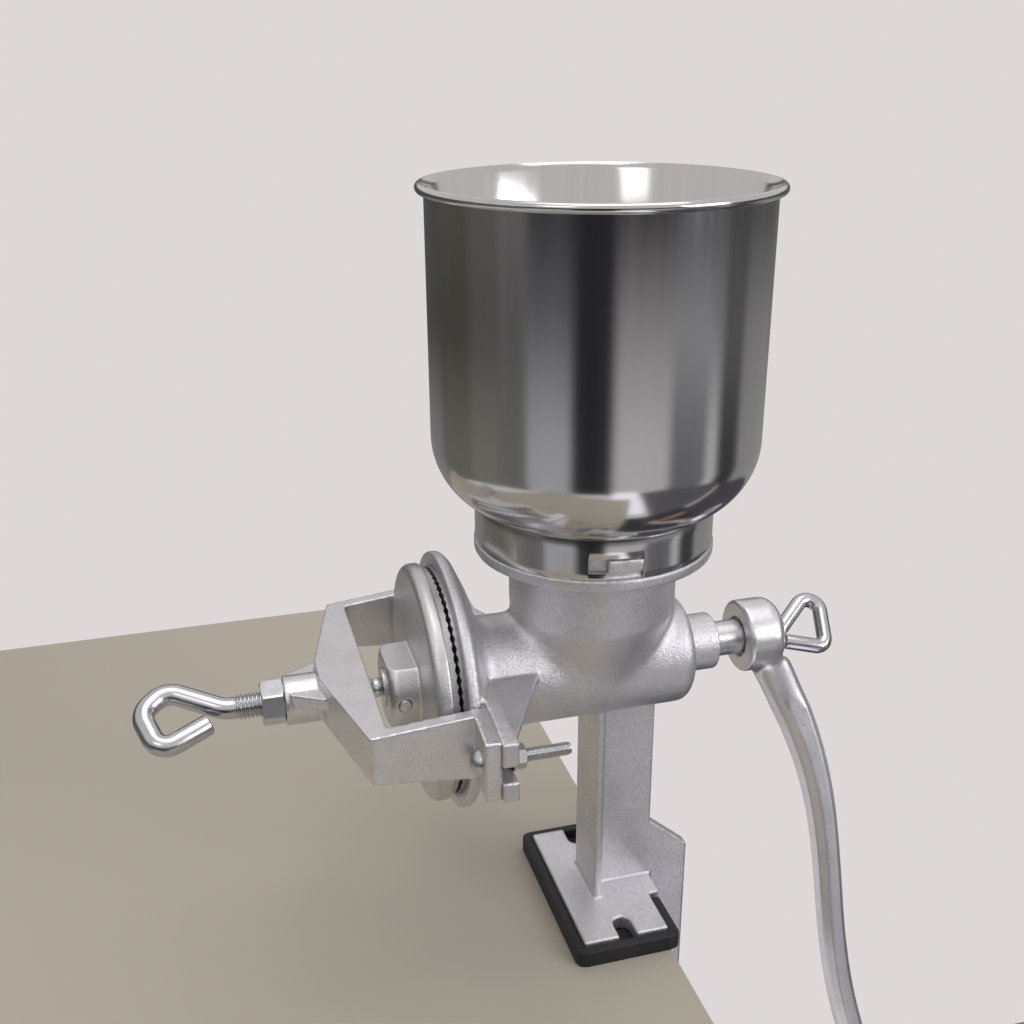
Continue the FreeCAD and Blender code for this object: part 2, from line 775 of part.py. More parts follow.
def hopper_collar():
    """The neck ring under the bowl, with two bayonet slots for the lugs of the casting."""
    body = new_body("hopper_collar")
    ring = outline(body, "collar_ring", "XZ", [
        (collar_inside, dim.ledge_top),
        (dim.collar_radius, dim.ledge_top),
        (dim.collar_radius, bowl_base),
        (lip_radius, bowl_base),
        (lip_radius, bowl_base - dim.hopper_sheet),
        (collar_inside, bowl_base - dim.hopper_sheet),
    ])
    revolve(body, ring, "V_Axis")
    slot_half = dim.lug_width / 2 + dim.bayonet_play
    travel = dim.bayonet_travel * math.pi / 180 * dim.collar_radius
    slot_front, slot_back = -(dim.collar_radius + BITE), dim.lip_width * 2 - dim.collar_radius
    slot_low = dim.ledge_top + dim.bayonet_lip
    slot_high = dim.ledge_top + dim.lug_lift + dim.lug_height + dim.bayonet_play
    entry = outline(body, "slot_entry", "XY", box_corners(
        -slot_half, slot_front, slot_half, slot_back),
        offset=dim.ledge_top, turn=dim.lug_turn)
    entry_cut = pad(body, entry, slot_high - dim.ledge_top, reverse=True, cuts=True)
    lock = outline(body, "slot_lock", "XY", box_corners(
        -(slot_half + travel), slot_front, slot_half, slot_back),
        offset=slot_low, turn=dim.lug_turn)
    lock_cut = pad(body, lock, slot_high - slot_low, reverse=True, cuts=True)
    around(body, [entry_cut, lock_cut], "Z", 2)


def foot_pad():
    """The rubber tray that the base plate sits in, open where the clamp leg goes down."""
    body = new_body("foot_pad", lift=0.0)
    left = -(dim.base_front + dim.pad_rim_thick)
    right = dim.leg_face + dim.pad_rim_thick
    half = dim.base_half_width + dim.pad_rim_thick
    tray = outline(body, "tray", "XY", box_corners(left, -half, right, half))
    pad(body, tray, dim.pad_rim_height)
    corners = [(x, y, dim.pad_rim_height / 2) for x in (left, right) for y in (-half, half)]
    soften(body, dim.pad_rounding, corners)
    seat = outline(body, "seat", "XY", box_corners(
        -(dim.base_front + dim.pad_play), -(dim.base_half_width + dim.pad_play),
        dim.leg_face + dim.pad_play, dim.base_half_width + dim.pad_play), offset=dim.pad_floor)
    pad(body, seat, dim.pad_rim_height, reverse=True, cuts=True)
    gap_half = dim.leg_plate_half_width + dim.pad_gap
    gap = outline(body, "leg_gap", "XY", box_corners(
        dim.leg_face - dim.pad_play, -gap_half, right + BITE, gap_half))
    pad(body, gap, dim.pad_rim_height + BITE, reverse=True, cuts=True)


def burr(label, back, front, tips, inner, screw_ring, turn):
    """A burr plate: a flat ring with ridges across its face and countersunk screw holes."""
    back, front, tips = float(back), float(front), float(tips)
    facing = math.copysign(1.0, tips - front)
    low, high = min(back, front), max(back, front)
    outer = float(dim.burr_radius)
    disc = Part.makeCylinder(outer, high - low, Vector(low, 0, 0), X_DIRECTION)
    count = int(float(dim.tooth_count))
    half_width = outer * math.sin(math.pi / count) * float(dim.tooth_share)
    tooth_end = outer - float(dim.tooth_inset)
    ridge_root = float(dim.tooth_root_radius)
    root_half = half_width * ridge_root / outer
    ridges = []
    for index in range(count):
        foot = Part.makePolygon([
            Vector(front, -half_width, tooth_end), Vector(front, half_width, tooth_end),
            Vector(tips, 0, tooth_end), Vector(front, -half_width, tooth_end)])
        heel = Part.makePolygon([
            Vector(front, -root_half, ridge_root), Vector(front, root_half, ridge_root),
            Vector(tips, 0, ridge_root), Vector(front, -root_half, ridge_root)])
        ridge = Part.makeLoft([heel, foot], True, True)
        ridge.translate(Vector(-float(dim.tooth_sink) * facing, 0, 0))
        ridge.rotate(Vector(), X_DIRECTION, (index + turn) * 360.0 / count)
        ridges.append(ridge)
    shape = disc.fuse(ridges)
    through = high - low + 2 * BITE
    cuts = [Part.makeCylinder(float(inner), through, Vector(low - BITE, 0, 0), X_DIRECTION)]
    sink = float(dim.burr_screw_sink)
    for index in range(3):
        angle = math.radians(index * 120.0)
        spot = Vector(0, math.sin(angle), math.cos(angle)) * float(screw_ring)
        hole_radius = float(dim.burr_screw_radius + dim.shaft_play)
        head_radius = float(dim.burr_screw_head + dim.shaft_play)
        hole_start = spot + Vector(low - BITE, 0, 0)
        cuts.append(Part.makeCylinder(hole_radius, through, hole_start, X_DIRECTION))
        cone_base = spot + Vector(front - facing * sink, 0, 0)
        heading = Vector(facing, 0, 0)
        cuts.append(Part.makeCone(hole_radius, head_radius, sink, cone_base, heading))
        cuts.append(Part.makeCylinder(head_radius, BITE, spot + Vector(front, 0, 0), heading))
    return shaped(label, shape.cut(cuts))


def burr_screws(label, front, facing, screw_ring):
    """Three countersunk screws, flush with the face between the ridges."""
    body = new_body(label)
    radius, head, sink = dim.burr_screw_radius, dim.burr_screw_head, dim.burr_screw_sink
    tip = front - dim.burr_screw_length * facing
    profile = outline(body, label + "_profile", "XZ", [
        (front, screw_ring),
        (front, screw_ring + head),
        (front - sink * facing, screw_ring + radius),
        (tip, screw_ring + radius),
        (tip, screw_ring),
    ])
    made = body.newObject("PartDesign::Revolution", label + "_turned")
    made.Profile = profile
    made.ReferenceAxis = (profile, ["Edge1"])
    made.Angle = 360
    settle(body, made, 0.0)
    around(body, [made], "X", 3)


def rotor_plate():
    """The turning plate with its hub, pinned to the shaft. It carries the moving burr."""
    body = new_body("rotor_plate")
    bore = dim.shaft_radius + dim.shaft_play
    profile = outline(body, "rotor_profile", "XZ", [
        (rotor_front + dim.rotor_spigot, bore),
        (rotor_front + dim.rotor_spigot, dim.rotor_spigot_radius),
        (rotor_front, dim.rotor_spigot_radius),
        (rotor_front, dim.rotor_radius),
        (rotor_back + dim.rotor_rounding, dim.rotor_radius),
        (rotor_back, dim.rotor_radius - dim.rotor_rounding, dim.rotor_rounding),
        (rotor_back, dim.hub_radius),
        (hub_end + dim.hub_rounding, dim.hub_radius),
        (hub_end, dim.hub_radius - dim.hub_rounding, dim.hub_rounding),
        (hub_end, bore),
    ])
    revolve(body, profile, "H_Axis")
    flat = outline(body, "hub_flat", "XZ", box_corners(
        hub_end - BITE, dim.hub_flat, rotor_back, dim.hub_radius + BITE))
    pad(body, flat, dim.hub_radius * 2, middle=True, cuts=True)
    pin_hole = circles(body, "pin_hole", "XZ", [
        (hub_end + dim.pin_from_end, 0, dim.pin_radius + dim.shaft_play)])
    pad(body, pin_hole, dim.hub_radius * 2 + BITE * 2, middle=True, cuts=True)
    screw_hole = circles(body, "moving_screw_hole", "YZ", [
        (0, dim.moving_screw_ring, dim.burr_screw_radius + dim.shaft_play)],
        offset=rotor_front + BITE)
    hole = pad(body, screw_hole, dim.rotor_thick, cuts=True)
    around(body, [hole], "X", 3)


def auger():
    """The shaft with its feed worm, cupped for the thrust ball and flatted for the crank."""
    left, right = -float(dim.shaft_thrust_end), float(dim.shaft_crank_end)
    radius = float(dim.shaft_radius)
    shaft = Part.makeCylinder(radius, right - left, Vector(left, 0, 0), X_DIRECTION)
    worm_left = -float(dim.worm_left)
    length = float(dim.worm_left + dim.worm_right)
    spine = Part.makeHelix(float(dim.worm_pitch), length, 10)
    crest = float(dim.worm_crest_width) / 2
    foot = float(dim.worm_root_width) / 2
    inside = radius - BITE
    outside = float(dim.worm_radius)
    section = Part.makePolygon([
        Vector(inside, 0, -foot), Vector(outside, 0, -crest), Vector(outside, 0, crest),
        Vector(inside, 0, foot), Vector(inside, 0, -foot)])
    flight = Part.Wire(spine).makePipeShell([section], True, True)
    flight.rotate(Vector(), Y_DIRECTION, 90)
    flight.translate(Vector(worm_left, 0, 0))
    cup_radius = float(dim.ball_radius + dim.ball_play)
    cup_centre = left + float(dim.cup_depth) - cup_radius
    cup = Part.makeSphere(cup_radius, Vector(cup_centre, 0, 0))
    flat_start = float(dim.shaft_flat_start)
    flat_height = radius - float(dim.shaft_flat_depth)
    flat = Part.makeBox(right - flat_start + BITE, radius * 2, radius,
                        Vector(flat_start, -radius, flat_height))
    thread_length = float(dim.crank_screw_reach + dim.crank_thread_spare)
    thread_radius = float(dim.crank_screw_radius + dim.screw_play)
    thread = Part.makeCylinder(thread_radius, thread_length + BITE,
                               Vector(right - thread_length, 0, 0), X_DIRECTION)
    flat.rotate(Vector(), X_DIRECTION, float(dim.crank_lean))
    pin_x = float(hub_end + dim.pin_from_end)
    pin_reach = radius + BITE
    pin_hole = Part.makeCylinder(float(dim.pin_radius + dim.shaft_play), pin_reach * 2,
                                 Vector(pin_x, -pin_reach, 0), Y_DIRECTION)
    shape = shaft.fuse(flight).cut([cup, flat, thread, pin_hole])
    shaped("auger", shape.Solids[0])


def rotor_pin():
    body = new_body("rotor_pin")
    pin = circles(body, "pin", "XZ", [(hub_end + dim.pin_from_end, 0, dim.pin_radius)])
    pad(body, pin, dim.pin_half_length * 2, middle=True)


def thrust_ball():
    """The steel ball that takes the shaft's push against the adjusting screw."""
    ball = doc.addObject("Part::Sphere", "thrust_ball")
    ball.Label = "thrust_ball"
    tie(ball, "Radius", dim.ball_radius)
    tie(ball, "Placement.Base.x", ball_middle)
    tie(ball, "Placement.Base.z", dim.axis_height)


ball_middle = -(dim.shaft_thrust_end - dim.cup_depth + dim.ball_radius + dim.ball_play)
screw_tip = ball_middle * 2 + dim.shaft_thrust_end


def yoke():
    """The bridge over the rotor: two arms with bolted feet and a threaded boss in the middle."""
    body = new_body("yoke")
    foot_front = ear_front - dim.yoke_foot_thick
    outer = dim.yoke_arm_inner + dim.yoke_arm_thick
    inner = dim.yoke_arm_inner
    inner_corner = inner - dim.yoke_arm_draft
    outer_corner = outer - dim.yoke_arm_draft
    half = [
        (-dim.yoke_bridge_inner, inner_corner),
        (ear_front, inner),
        (ear_front, dim.yoke_foot_reach),
        (foot_front, dim.yoke_foot_reach),
        (foot_front, outer),
        (-dim.yoke_bridge_corner, outer_corner),
        (-dim.yoke_bridge_outer, dim.yoke_bridge_flat),
    ]
    mirrored = [(x, -y) for x, y in reversed(half)]
    frame = outline(body, "yoke_frame", "XY", half + mirrored, offset=-dim.yoke_bottom)
    pad(body, frame, dim.yoke_bottom + dim.yoke_foot_top)
    level = (dim.yoke_foot_top - dim.yoke_bottom) / 2
    corners = [(-dim.yoke_bridge_inner, side * inner_corner, level) for side in (-1, 1)]
    corners += [(-dim.yoke_bridge_corner, side * outer_corner, level) for side in (-1, 1)]
    soften(body, dim.yoke_corner_rounding, corners)
    top = outline(body, "yoke_topside", "XZ", [
        (-(dim.yoke_bridge_outer + BITE), dim.yoke_top),
        (-dim.yoke_bridge_corner, dim.yoke_top),
        (foot_front, dim.yoke_foot_top),
        (-(dim.yoke_bridge_outer + BITE), dim.yoke_foot_top + BITE),
    ])
    pad(body, top, (outer + BITE) * 2, middle=True, cuts=True)
    for name, side in (("near", -1), ("far", 1)):
        foot_top = outline(body, "foot_topside_" + name, "YZ", [
            (outer * side, dim.yoke_foot_top),
            (dim.yoke_foot_reach * side, dim.yoke_foot_tip_top),
            ((dim.yoke_foot_reach + BITE) * side, dim.yoke_foot_tip_top),
            ((dim.yoke_foot_reach + BITE) * side, dim.yoke_foot_top),
        ], offset=ear_front)
        pad(body, foot_top, dim.yoke_foot_thick + BITE, cuts=True)
    under = outline(body, "yoke_underside", "XZ", [
        (-(dim.yoke_bridge_outer + BITE), -(dim.yoke_bottom + BITE)),
        (foot_front, -dim.yoke_bottom),
        (-dim.yoke_bridge_corner, -dim.yoke_bridge_bottom),
        (-(dim.yoke_bridge_outer + BITE), -dim.yoke_bridge_bottom),
    ])
    pad(body, under, (outer + BITE) * 2, middle=True, cuts=True)
    boss = circles(body, "yoke_boss", "YZ", [(0, 0, dim.yoke_boss_radius)],
                   offset=-dim.yoke_boss_end)
    pad(body, boss, dim.yoke_boss_end - dim.yoke_bridge_inner - BITE)
    gusset_root = dim.yoke_gusset_root - dim.yoke_bridge_outer
    gusset_tip = dim.yoke_gusset_inset - dim.yoke_boss_end
    gusset = outline(body, "yoke_gusset", "XY", [
        (gusset_tip, dim.yoke_boss_radius - BITE),
        (gusset_tip, BITE - dim.yoke_boss_radius),
        (gusset_root, -dim.yoke_gusset_reach),
        (gusset_root, dim.yoke_gusset_reach),
    ], offset=dim.yoke_gusset_low)
    pad(body, gusset, dim.yoke_gusset_high - dim.yoke_gusset_low)
    thread = circles(body, "yoke_thread", "YZ", [(0, 0, dim.screw_radius + dim.screw_play)],
                     offset=-dim.yoke_bridge_inner)
    pad(body, thread, dim.yoke_boss_end - dim.yoke_bridge_inner + BITE, cuts=True)
    holes = circles(body, "yoke_bolt_holes", "YZ", [
        (side * dim.bolt_ring, 0, dim.bolt_radius + dim.bolt_play) for side in (-1, 1)],
        offset=ear_front)
    pad(body, holes, dim.yoke_foot_thick + BITE, cuts=True)


def yoke_bolts():
    """Two round-headed bolts through the feet of the yoke and the ears, one of them shorter."""
    head_seat = float(ear_front - dim.yoke_foot_thick)
    height = float(dim.bolt_head_height)
    radius = float(dim.bolt_radius)
    core = radius - THREAD_DEPTH * float(dim.bolt_pitch)
    plain = float(dim.yoke_foot_thick + dim.ear_thick)
    neck = Part.makeCylinder(radius, plain, Vector(head_seat, 0, 0), X_DIRECTION)
    reach = float(dim.bolt_head_radius)
    dome = (reach ** 2 + height ** 2) / (2 * height)
    ball = Part.makeSphere(dome, Vector(head_seat - height + dome, 0, 0))
    slab = Part.makeCylinder(reach, height, Vector(head_seat - height, 0, 0), X_DIRECTION)
    copies = []
    for side, end in ((-1, -float(dim.bolt_end)), (1, -float(dim.short_bolt_end))):
        rod = ridged_rod(head_seat, end, core, radius, float(dim.bolt_pitch), plain)
        bolt = rod.fuse([neck, slab.common(ball)])
        bolt.translate(Vector(0, side * float(dim.bolt_ring), 0))
        copies.append(bolt)
    shaped("yoke_bolts", Part.makeCompound(copies))


def yoke_washers():
    body = new_body("yoke_washers")
    hole = dim.bolt_radius + dim.shaft_play * 2
    ring = circles(body, "washer_ring", "YZ", [
        (dim.bolt_ring, 0, dim.washer_radius), (dim.bolt_ring, 0, hole)], offset=ear_back)
    around(body, [pad(body, ring, dim.washer_thick)], "X", 2)


def yoke_nuts():
    body = new_body("yoke_nuts")
    seat = ear_back + dim.washer_thick
    nut = hexagon(body, "small_nut", "YZ", dim.small_nut_flats, dim.bolt_ring, as_size(0), seat)
    solid = pad(body, nut, dim.small_nut_height)
    bore = circles(body, "small_nut_bore", "YZ", [
        (dim.bolt_ring, 0, dim.bolt_radius + dim.shaft_play)], offset=seat)
    hole = pad(body, bore, dim.small_nut_height, reverse=True, cuts=True)
    around(body, [solid, hole], "X", 2)


# The big screws' loop behind the neck: how far back, how high, and the radius of each bend.
LOOP_NECK_BEND = 12.0
LOOP_BENDS = [(21.5, 11.9, 8.0), (31.6, 3.0, 8.0), (25.2, -15.0, 5.8)]
LOOP_END = (6.2, -5.6)


def loop_corners(neck, scale):
    """The corners of a bent loop behind a screw's neck, with the radius of each bend."""
    corners = [(neck, 0.0)]
    corners += [(neck - back * scale, height * scale) for back, height, _ in LOOP_BENDS]
    corners.append((neck - LOOP_END[0] * scale, LOOP_END[1] * scale))
    radii = [LOOP_NECK_BEND * scale] + [radius * scale for _, _, radius in LOOP_BENDS]
    return corners, radii


def loop_screw(tip, neck):
    """A screw along X, from its tip on the right to a loop bent from the same rod on the left."""
    core = float(dim.screw_radius) - THREAD_DEPTH * float(dim.screw_pitch)
    crest = float(dim.screw_radius)
    length = float(dim.screw_nose)
    thread_end = neck + float(dim.screw_plain)
    thread = ridged_rod(thread_end, tip - length, core, crest, float(dim.screw_pitch))
    nose = Part.makeCylinder(core, length, Vector(tip - length, 0, 0), X_DIRECTION)
    scale = float(dim.rod_radius) / LOOP_ROD
    corners, radii = loop_corners(neck, scale)
    path = [(thread_end, 0.0)] + corners
    loop = bent_rod(path, radii, float(dim.rod_radius))
    return thread.fuse([nose, loop])


def adjusting_screw():
    """The screw that sets the burr gap, with a cup in its tip for the thrust ball."""
    neck = -float(dim.screw_neck)
    tip = float(screw_tip)
    screw = loop_screw(tip, neck)
    cup = Part.makeSphere(float(dim.ball_radius + dim.ball_play), Vector(float(ball_middle), 0, 0))
    shaped("adjusting_screw", screw.cut(cup).Solids[0], turn=float(dim.screw_lean))


def adjusting_locknut():
    body = new_body("adjusting_locknut")
    nut = hexagon(body, "locknut", "YZ", dim.locknut_flats, as_size(0), as_size(0),
                  -dim.yoke_boss_end, dim.locknut_lean)
    pad(body, nut, dim.locknut_height, reverse=True)
    bore = circles(body, "locknut_bore", "YZ", [(0, 0, dim.screw_radius + dim.screw_play)],
                   offset=-dim.yoke_boss_end)
    pad(body, bore, dim.locknut_height, cuts=True)


# Cross-sections of the crank arm: distance down, middle along X, width along X, width across.
# The root has only its two widths, because it sits in the hub.
ARM_ROOT = (15.5, 19.0)
ARM_SECTIONS = [
    (44.0, 93.0, 14.0, 15.0),
    (88.0, 100.4, 11.0, 13.0),
    (130.0, 100.1, 10.6, 12.0),
    (178.0, 103.9, 10.6, 12.0),
]


def crank_arm():
    """The cast crank: a hub with a flatted bore, a bent arm and an eye for the grip's spindle."""
    body = new_body("crank_arm", lean=dim.crank_lean)
    hub = circles(body, "crank_hub", "YZ", [(0, 0, dim.crank_hub_radius)],
                  offset=dim.crank_hub_left)
    pad(body, hub, dim.crank_hub_right - dim.crank_hub_left)
    soften(body, dim.crank_hub_dome, [(dim.crank_hub_right, 0, -dim.crank_hub_radius)])
    soften(body, dim.crank_hub_rounding, [(dim.crank_hub_left, 0, -dim.crank_hub_radius)])
    arm_scale = dim.crank_radius / ARM_LENGTH
    hub_middle = (dim.crank_hub_left + dim.crank_hub_right) / 2
    rows = [(dim.arm_root_drop, hub_middle + dim.arm_root_offset, *ARM_ROOT)]
    rows += [(down * arm_scale, middle, wide, deep) for down, middle, wide, deep in ARM_SECTIONS]
    rows.append((dim.crank_radius - dim.eye_radius / 2, dim.eye_middle,
                 dim.eye_thick - dim.arm_end_inset, dim.eye_radius * 1.4))
    sections = []
    for index, (down, middle, wide, deep) in enumerate(rows):
        middle, wide, deep = as_size(middle), as_size(wide), as_size(deep)
        across, along, cut = wide / 2, deep / 2, dim.arm_bevel
        corners = [
            (middle - across, cut - along), (middle + cut - across, -along),
            (middle + across - cut, -along), (middle + across, cut - along),
            (middle + across, along - cut), (middle + across - cut, along),
            (middle + cut - across, along), (middle - across, along - cut),
        ]
        sections.append(outline(body, f"arm_section_{index}", "XY", corners, offset=-down))
    arm = body.newObject("PartDesign::AdditiveLoft", "arm")
    arm.Profile = sections[0]
    arm.Sections = sections[1:]
    arm.Ruled = False
    settle(body, arm, 0.0)
    eye = circles(body, "eye", "YZ", [(0, -dim.crank_radius, dim.eye_radius)],
                  offset=dim.eye_middle - dim.eye_thick / 2)
    pad(body, eye, dim.eye_thick)
    bore_radius = dim.shaft_radius + dim.shaft_play
    flat_height = bore_radius - dim.shaft_flat_depth
    half_flat = root(bore_radius * bore_radius - flat_height * flat_height)
    bore = outline(body, "flatted_bore", "YZ", [
        (-half_flat, flat_height),
        (-bore_radius, 0, bore_radius),
        (0, -bore_radius, bore_radius),
        (bore_radius, 0, bore_radius),
        (half_flat, flat_height, bore_radius),
    ], offset=dim.crank_hub_left)
    pad(body, bore, dim.crank_hub_right - dim.crank_hub_left + BITE, reverse=True, cuts=True)
    recess = circles(body, "hub_recess", "YZ", [(0, 0, dim.crank_hub_recess_radius)],
                     offset=dim.crank_hub_left)
    pad(body, recess, dim.crank_hub_recess, reverse=True, cuts=True)
    eye_bore = circles(body, "eye_bore", "YZ", [
        (0, -dim.crank_radius, dim.spindle_radius + dim.shaft_play)],
        offset=dim.eye_middle - dim.eye_thick / 2)
    pad(body, eye_bore, dim.eye_thick, reverse=True, cuts=True)


def crank_washer():
    body = new_body("crank_washer")
    ring = circles(body, "crank_washer_ring", "YZ", [
        (0, 0, dim.crank_washer_radius), (0, 0, dim.crank_rod_radius + dim.spindle_play)],
        offset=dim.crank_hub_right)
    pad(body, ring, dim.crank_washer_thick)


# The thumb screw's loop in front of the neck, in the same way
THUMB_BENDS = [(1.5, 0.0, 4.5), (26.0, 21.0, 5.5), (19.8, -11.2, 4.3)]
THUMB_END = (4.2, -5.9)


def crank_screw():
    """The thumb screw in the shaft's end. Its rod is bent into a loop like a closed triangle."""
    radius = float(dim.crank_screw_radius)
    pitch = float(dim.crank_screw_pitch)
    start = float(dim.shaft_crank_end - dim.crank_screw_reach)
    neck = float(dim.crank_hub_right + dim.crank_washer_thick + dim.crank_screw_gap)
    thread_end = float(dim.crank_hub_right - dim.crank_screw_plain)
    core = radius - THREAD_DEPTH * pitch
    thread = ridged_rod(start, thread_end, core, radius, pitch)
    rod = float(dim.crank_rod_radius)
    scale = rod / THUMB_LOOP_ROD
    path = [(thread_end, 0.0)]
    path += [(neck + ahead * scale, height * scale) for ahead, height, _ in THUMB_BENDS]
    path.append((neck + THUMB_END[0] * scale, THUMB_END[1] * scale))
    loop = bent_rod(path, [radius * scale for _, _, radius in THUMB_BENDS], rod)
    shaped("crank_screw", thread.fuse(loop), turn=float(dim.crank_screw_lean))


eye_right = dim.eye_middle + dim.eye_thick / 2
grip_start = eye_right + dim.grip_washer_thick
grip_end = grip_start + dim.grip_length


def grip():
    """The turned wooden grip, free to spin on its spindle."""
    body = new_body("grip", lean=dim.crank_lean)
    line = -dim.crank_radius
    bore = dim.spindle_radius + dim.spindle_play
    rounding = dim.grip_end_rounding
    third = dim.grip_length / 3
    profile = outline(body, "grip_profile", "XZ", [
        (grip_start, line + bore),
        (grip_start, line + dim.grip_neck_radius),
        (grip_start + third, line + dim.grip_radius),
        (grip_end - third, line + dim.grip_radius + dim.grip_swell),
        (grip_end - rounding, line + dim.grip_radius),
        (grip_end, line + dim.grip_radius - rounding, -rounding),
        (grip_end, line + bore),
    ])
    line_sketch = outline(body, "grip_line", "XZ", box_corners(
        grip_start, line, grip_end, line + bore / 2))
    made = body.newObject("PartDesign::Revolution", "grip_turned")
    made.Profile = profile
    made.ReferenceAxis = (line_sketch, ["Edge2"])
    made.Angle = 360
    settle(body, made, 0.0)


def grip_spindle():
    """The long bolt through the grip and the eye of the arm."""
    radius = float(dim.spindle_radius)
    pitch = float(dim.spindle_pitch)
    head_seat = float(grip_end + dim.grip_washer_thick)
    head = Part.makeCylinder(float(dim.spindle_head_radius), float(dim.spindle_head_height),
                             Vector(head_seat, 0, 0), X_DIRECTION)
    eye_left = float(dim.eye_middle - dim.eye_thick / 2)
    tip = eye_left - float(dim.grip_nut_height + dim.spindle_proud)
    shank = Part.makeCylinder(radius, head_seat - eye_left, Vector(eye_left, 0, 0), X_DIRECTION)
    thread = ridged_rod(tip, eye_left, radius - THREAD_DEPTH * pitch, radius, pitch)
    shaped("grip_spindle", head.fuse([shank, thread]), turn=float(dim.crank_lean),
           drop=float(dim.crank_radius))


def grip_washers():
    body = new_body("grip_washers", lean=dim.crank_lean)
    rings = [(0, -dim.crank_radius, dim.grip_washer_radius),
             (0, -dim.crank_radius, dim.spindle_radius + dim.shaft_play)]
    pad(body, circles(body, "inner_washer", "YZ", rings, offset=eye_right), dim.grip_washer_thick)
    pad(body, circles(body, "outer_washer", "YZ", rings, offset=grip_end), dim.grip_washer_thick)


def grip_nut():
    body = new_body("grip_nut", lean=dim.crank_lean)
    eye_left = dim.eye_middle - dim.eye_thick / 2
    nut = hexagon(body, "grip_nut_outline", "YZ", dim.grip_nut_flats, as_size(0),
                  -dim.crank_radius, eye_left)
    pad(body, nut, dim.grip_nut_height, reverse=True)
    bore = circles(body, "grip_nut_bore", "YZ", [
        (0, -dim.crank_radius, dim.spindle_radius + dim.shaft_play)], offset=eye_left)
    pad(body, bore, dim.grip_nut_height, cuts=True)


plate_face = -dim.clamp_opening
plate_under = plate_face - dim.clamp_plate_thick
ball_height = plate_under - dim.clamp_socket_height + dim.clamp_ball_radius
socket_bottom = plate_under - dim.clamp_socket_height


def clamp_pad():
    """The swivelling plate that presses under the table, with a socket for the screw's ball."""
    body = new_body("clamp_pad", lift=0.0)
    tie(body, "Placement.Base.x", dim.clamp_middle)
    socket_ball = dim.clamp_ball_radius + dim.ball_play
    mouth = dim.clamp_neck_radius + dim.spindle_play
    profile = outline(body, "clamp_plate", "XZ", [
        (0, socket_bottom),
        (dim.clamp_socket_radius, socket_bottom),
        (dim.clamp_socket_radius, plate_under),
        (dim.clamp_plate_radius, plate_under),
        (dim.clamp_plate_radius, plate_face - dim.clamp_plate_bevel),
        (dim.clamp_plate_radius - dim.clamp_plate_bevel, plate_face),
        (0, plate_face),
    ])
    revolve(body, profile, "V_Axis")
    neck = circles(body, "socket_mouth", "XY", [(0, 0, mouth)], offset=socket_bottom)
    pad(body, neck, dim.clamp_ball_radius, reverse=True, cuts=True)
    top = ball_height + socket_ball
    bottom = ball_height - socket_ball
    socket = outline(body, "socket", "XZ", [
        (0, bottom),
        (socket_ball, ball_height, socket_ball),
        (0, top, socket_ball),
    ])
    revolve(body, socket, "V_Axis", cuts=True)


def clamp_screw():
    """The table clamp's screw: ball tip, threaded rod and a bent loop to turn it by."""
    ball = float(dim.clamp_ball_radius)
    tip = -ball - float(dim.clamp_neck_length)
    neck = tip - float(dim.clamp_screw_length)
    screw = loop_screw(tip, neck)
    ball_solid = Part.makeSphere(ball)
    link = Part.makeCylinder(float(dim.clamp_neck_radius), -tip + BITE,
                             Vector(tip - BITE, 0, 0), X_DIRECTION)
    shape = screw.fuse([link, ball_solid])
    place = Vector(float(dim.clamp_middle), 0, float(ball_height))
    shaped("clamp_screw", shape, turn_axis=Y_DIRECTION, turn=-90.0, place=place)


mill_body()
hopper_bowl()
hopper_collar()
foot_pad()
burr("fixed_burr", -dim.flange_face, fixed_burr_front, fixed_burr_front - dim.tooth_height,
     dim.chamber_radius, dim.fixed_screw_ring, 0.0)
burr_screws("fixed_burr_screws", fixed_burr_front, -1, dim.fixed_screw_ring)
burr("moving_burr", rotor_front, moving_burr_front, moving_tips,
     dim.rotor_spigot_radius + dim.shaft_play, dim.moving_screw_ring, 0.0)
burr_screws("moving_burr_screws", moving_burr_front, 1, dim.moving_screw_ring)
rotor_plate()
auger()
rotor_pin()
thrust_ball()
yoke()
yoke_bolts()
yoke_washers()
yoke_nuts()
adjusting_screw()
adjusting_locknut()
crank_arm()
crank_washer()
crank_screw()
grip()
grip_spindle()
grip_washers()
grip_nut()
clamp_pad()
clamp_screw()

doc.recompute()
for item in doc.Objects:
    if "Invalid" in item.State or "Error" in item.State:
        raise RuntimeError(f"{item.Label} did not recompute")

NODES = [
    "mill_body", "hopper_bowl", "hopper_collar", "foot_pad", "fixed_burr", "fixed_burr_screws",
    "moving_burr", "moving_burr_screws", "rotor_plate", "auger", "rotor_pin", "thrust_ball",
    "yoke", "yoke_bolts", "yoke_washers", "yoke_nuts", "adjusting_screw", "adjusting_locknut",
    "crank_arm", "crank_washer", "crank_screw", "grip", "grip_spindle", "grip_washers",
    "grip_nut", "clamp_pad", "clamp_screw",
]
os.makedirs("parts", exist_ok=True)
for label in NODES:
    shape = doc.getObjectsByLabel(label)[0].Shape
    if shape.isNull() or not shape.isValid() or not shape.Solids:
        raise RuntimeError(f"{label} has no valid solid")
    shape.exportStep(f"parts/{label}.step")
    print(f"{label}: {len(shape.Solids)} solid(s), {shape.Volume:.0f} mm3")
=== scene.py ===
import math

import bmesh
import bpy
from mathutils import Matrix, Vector


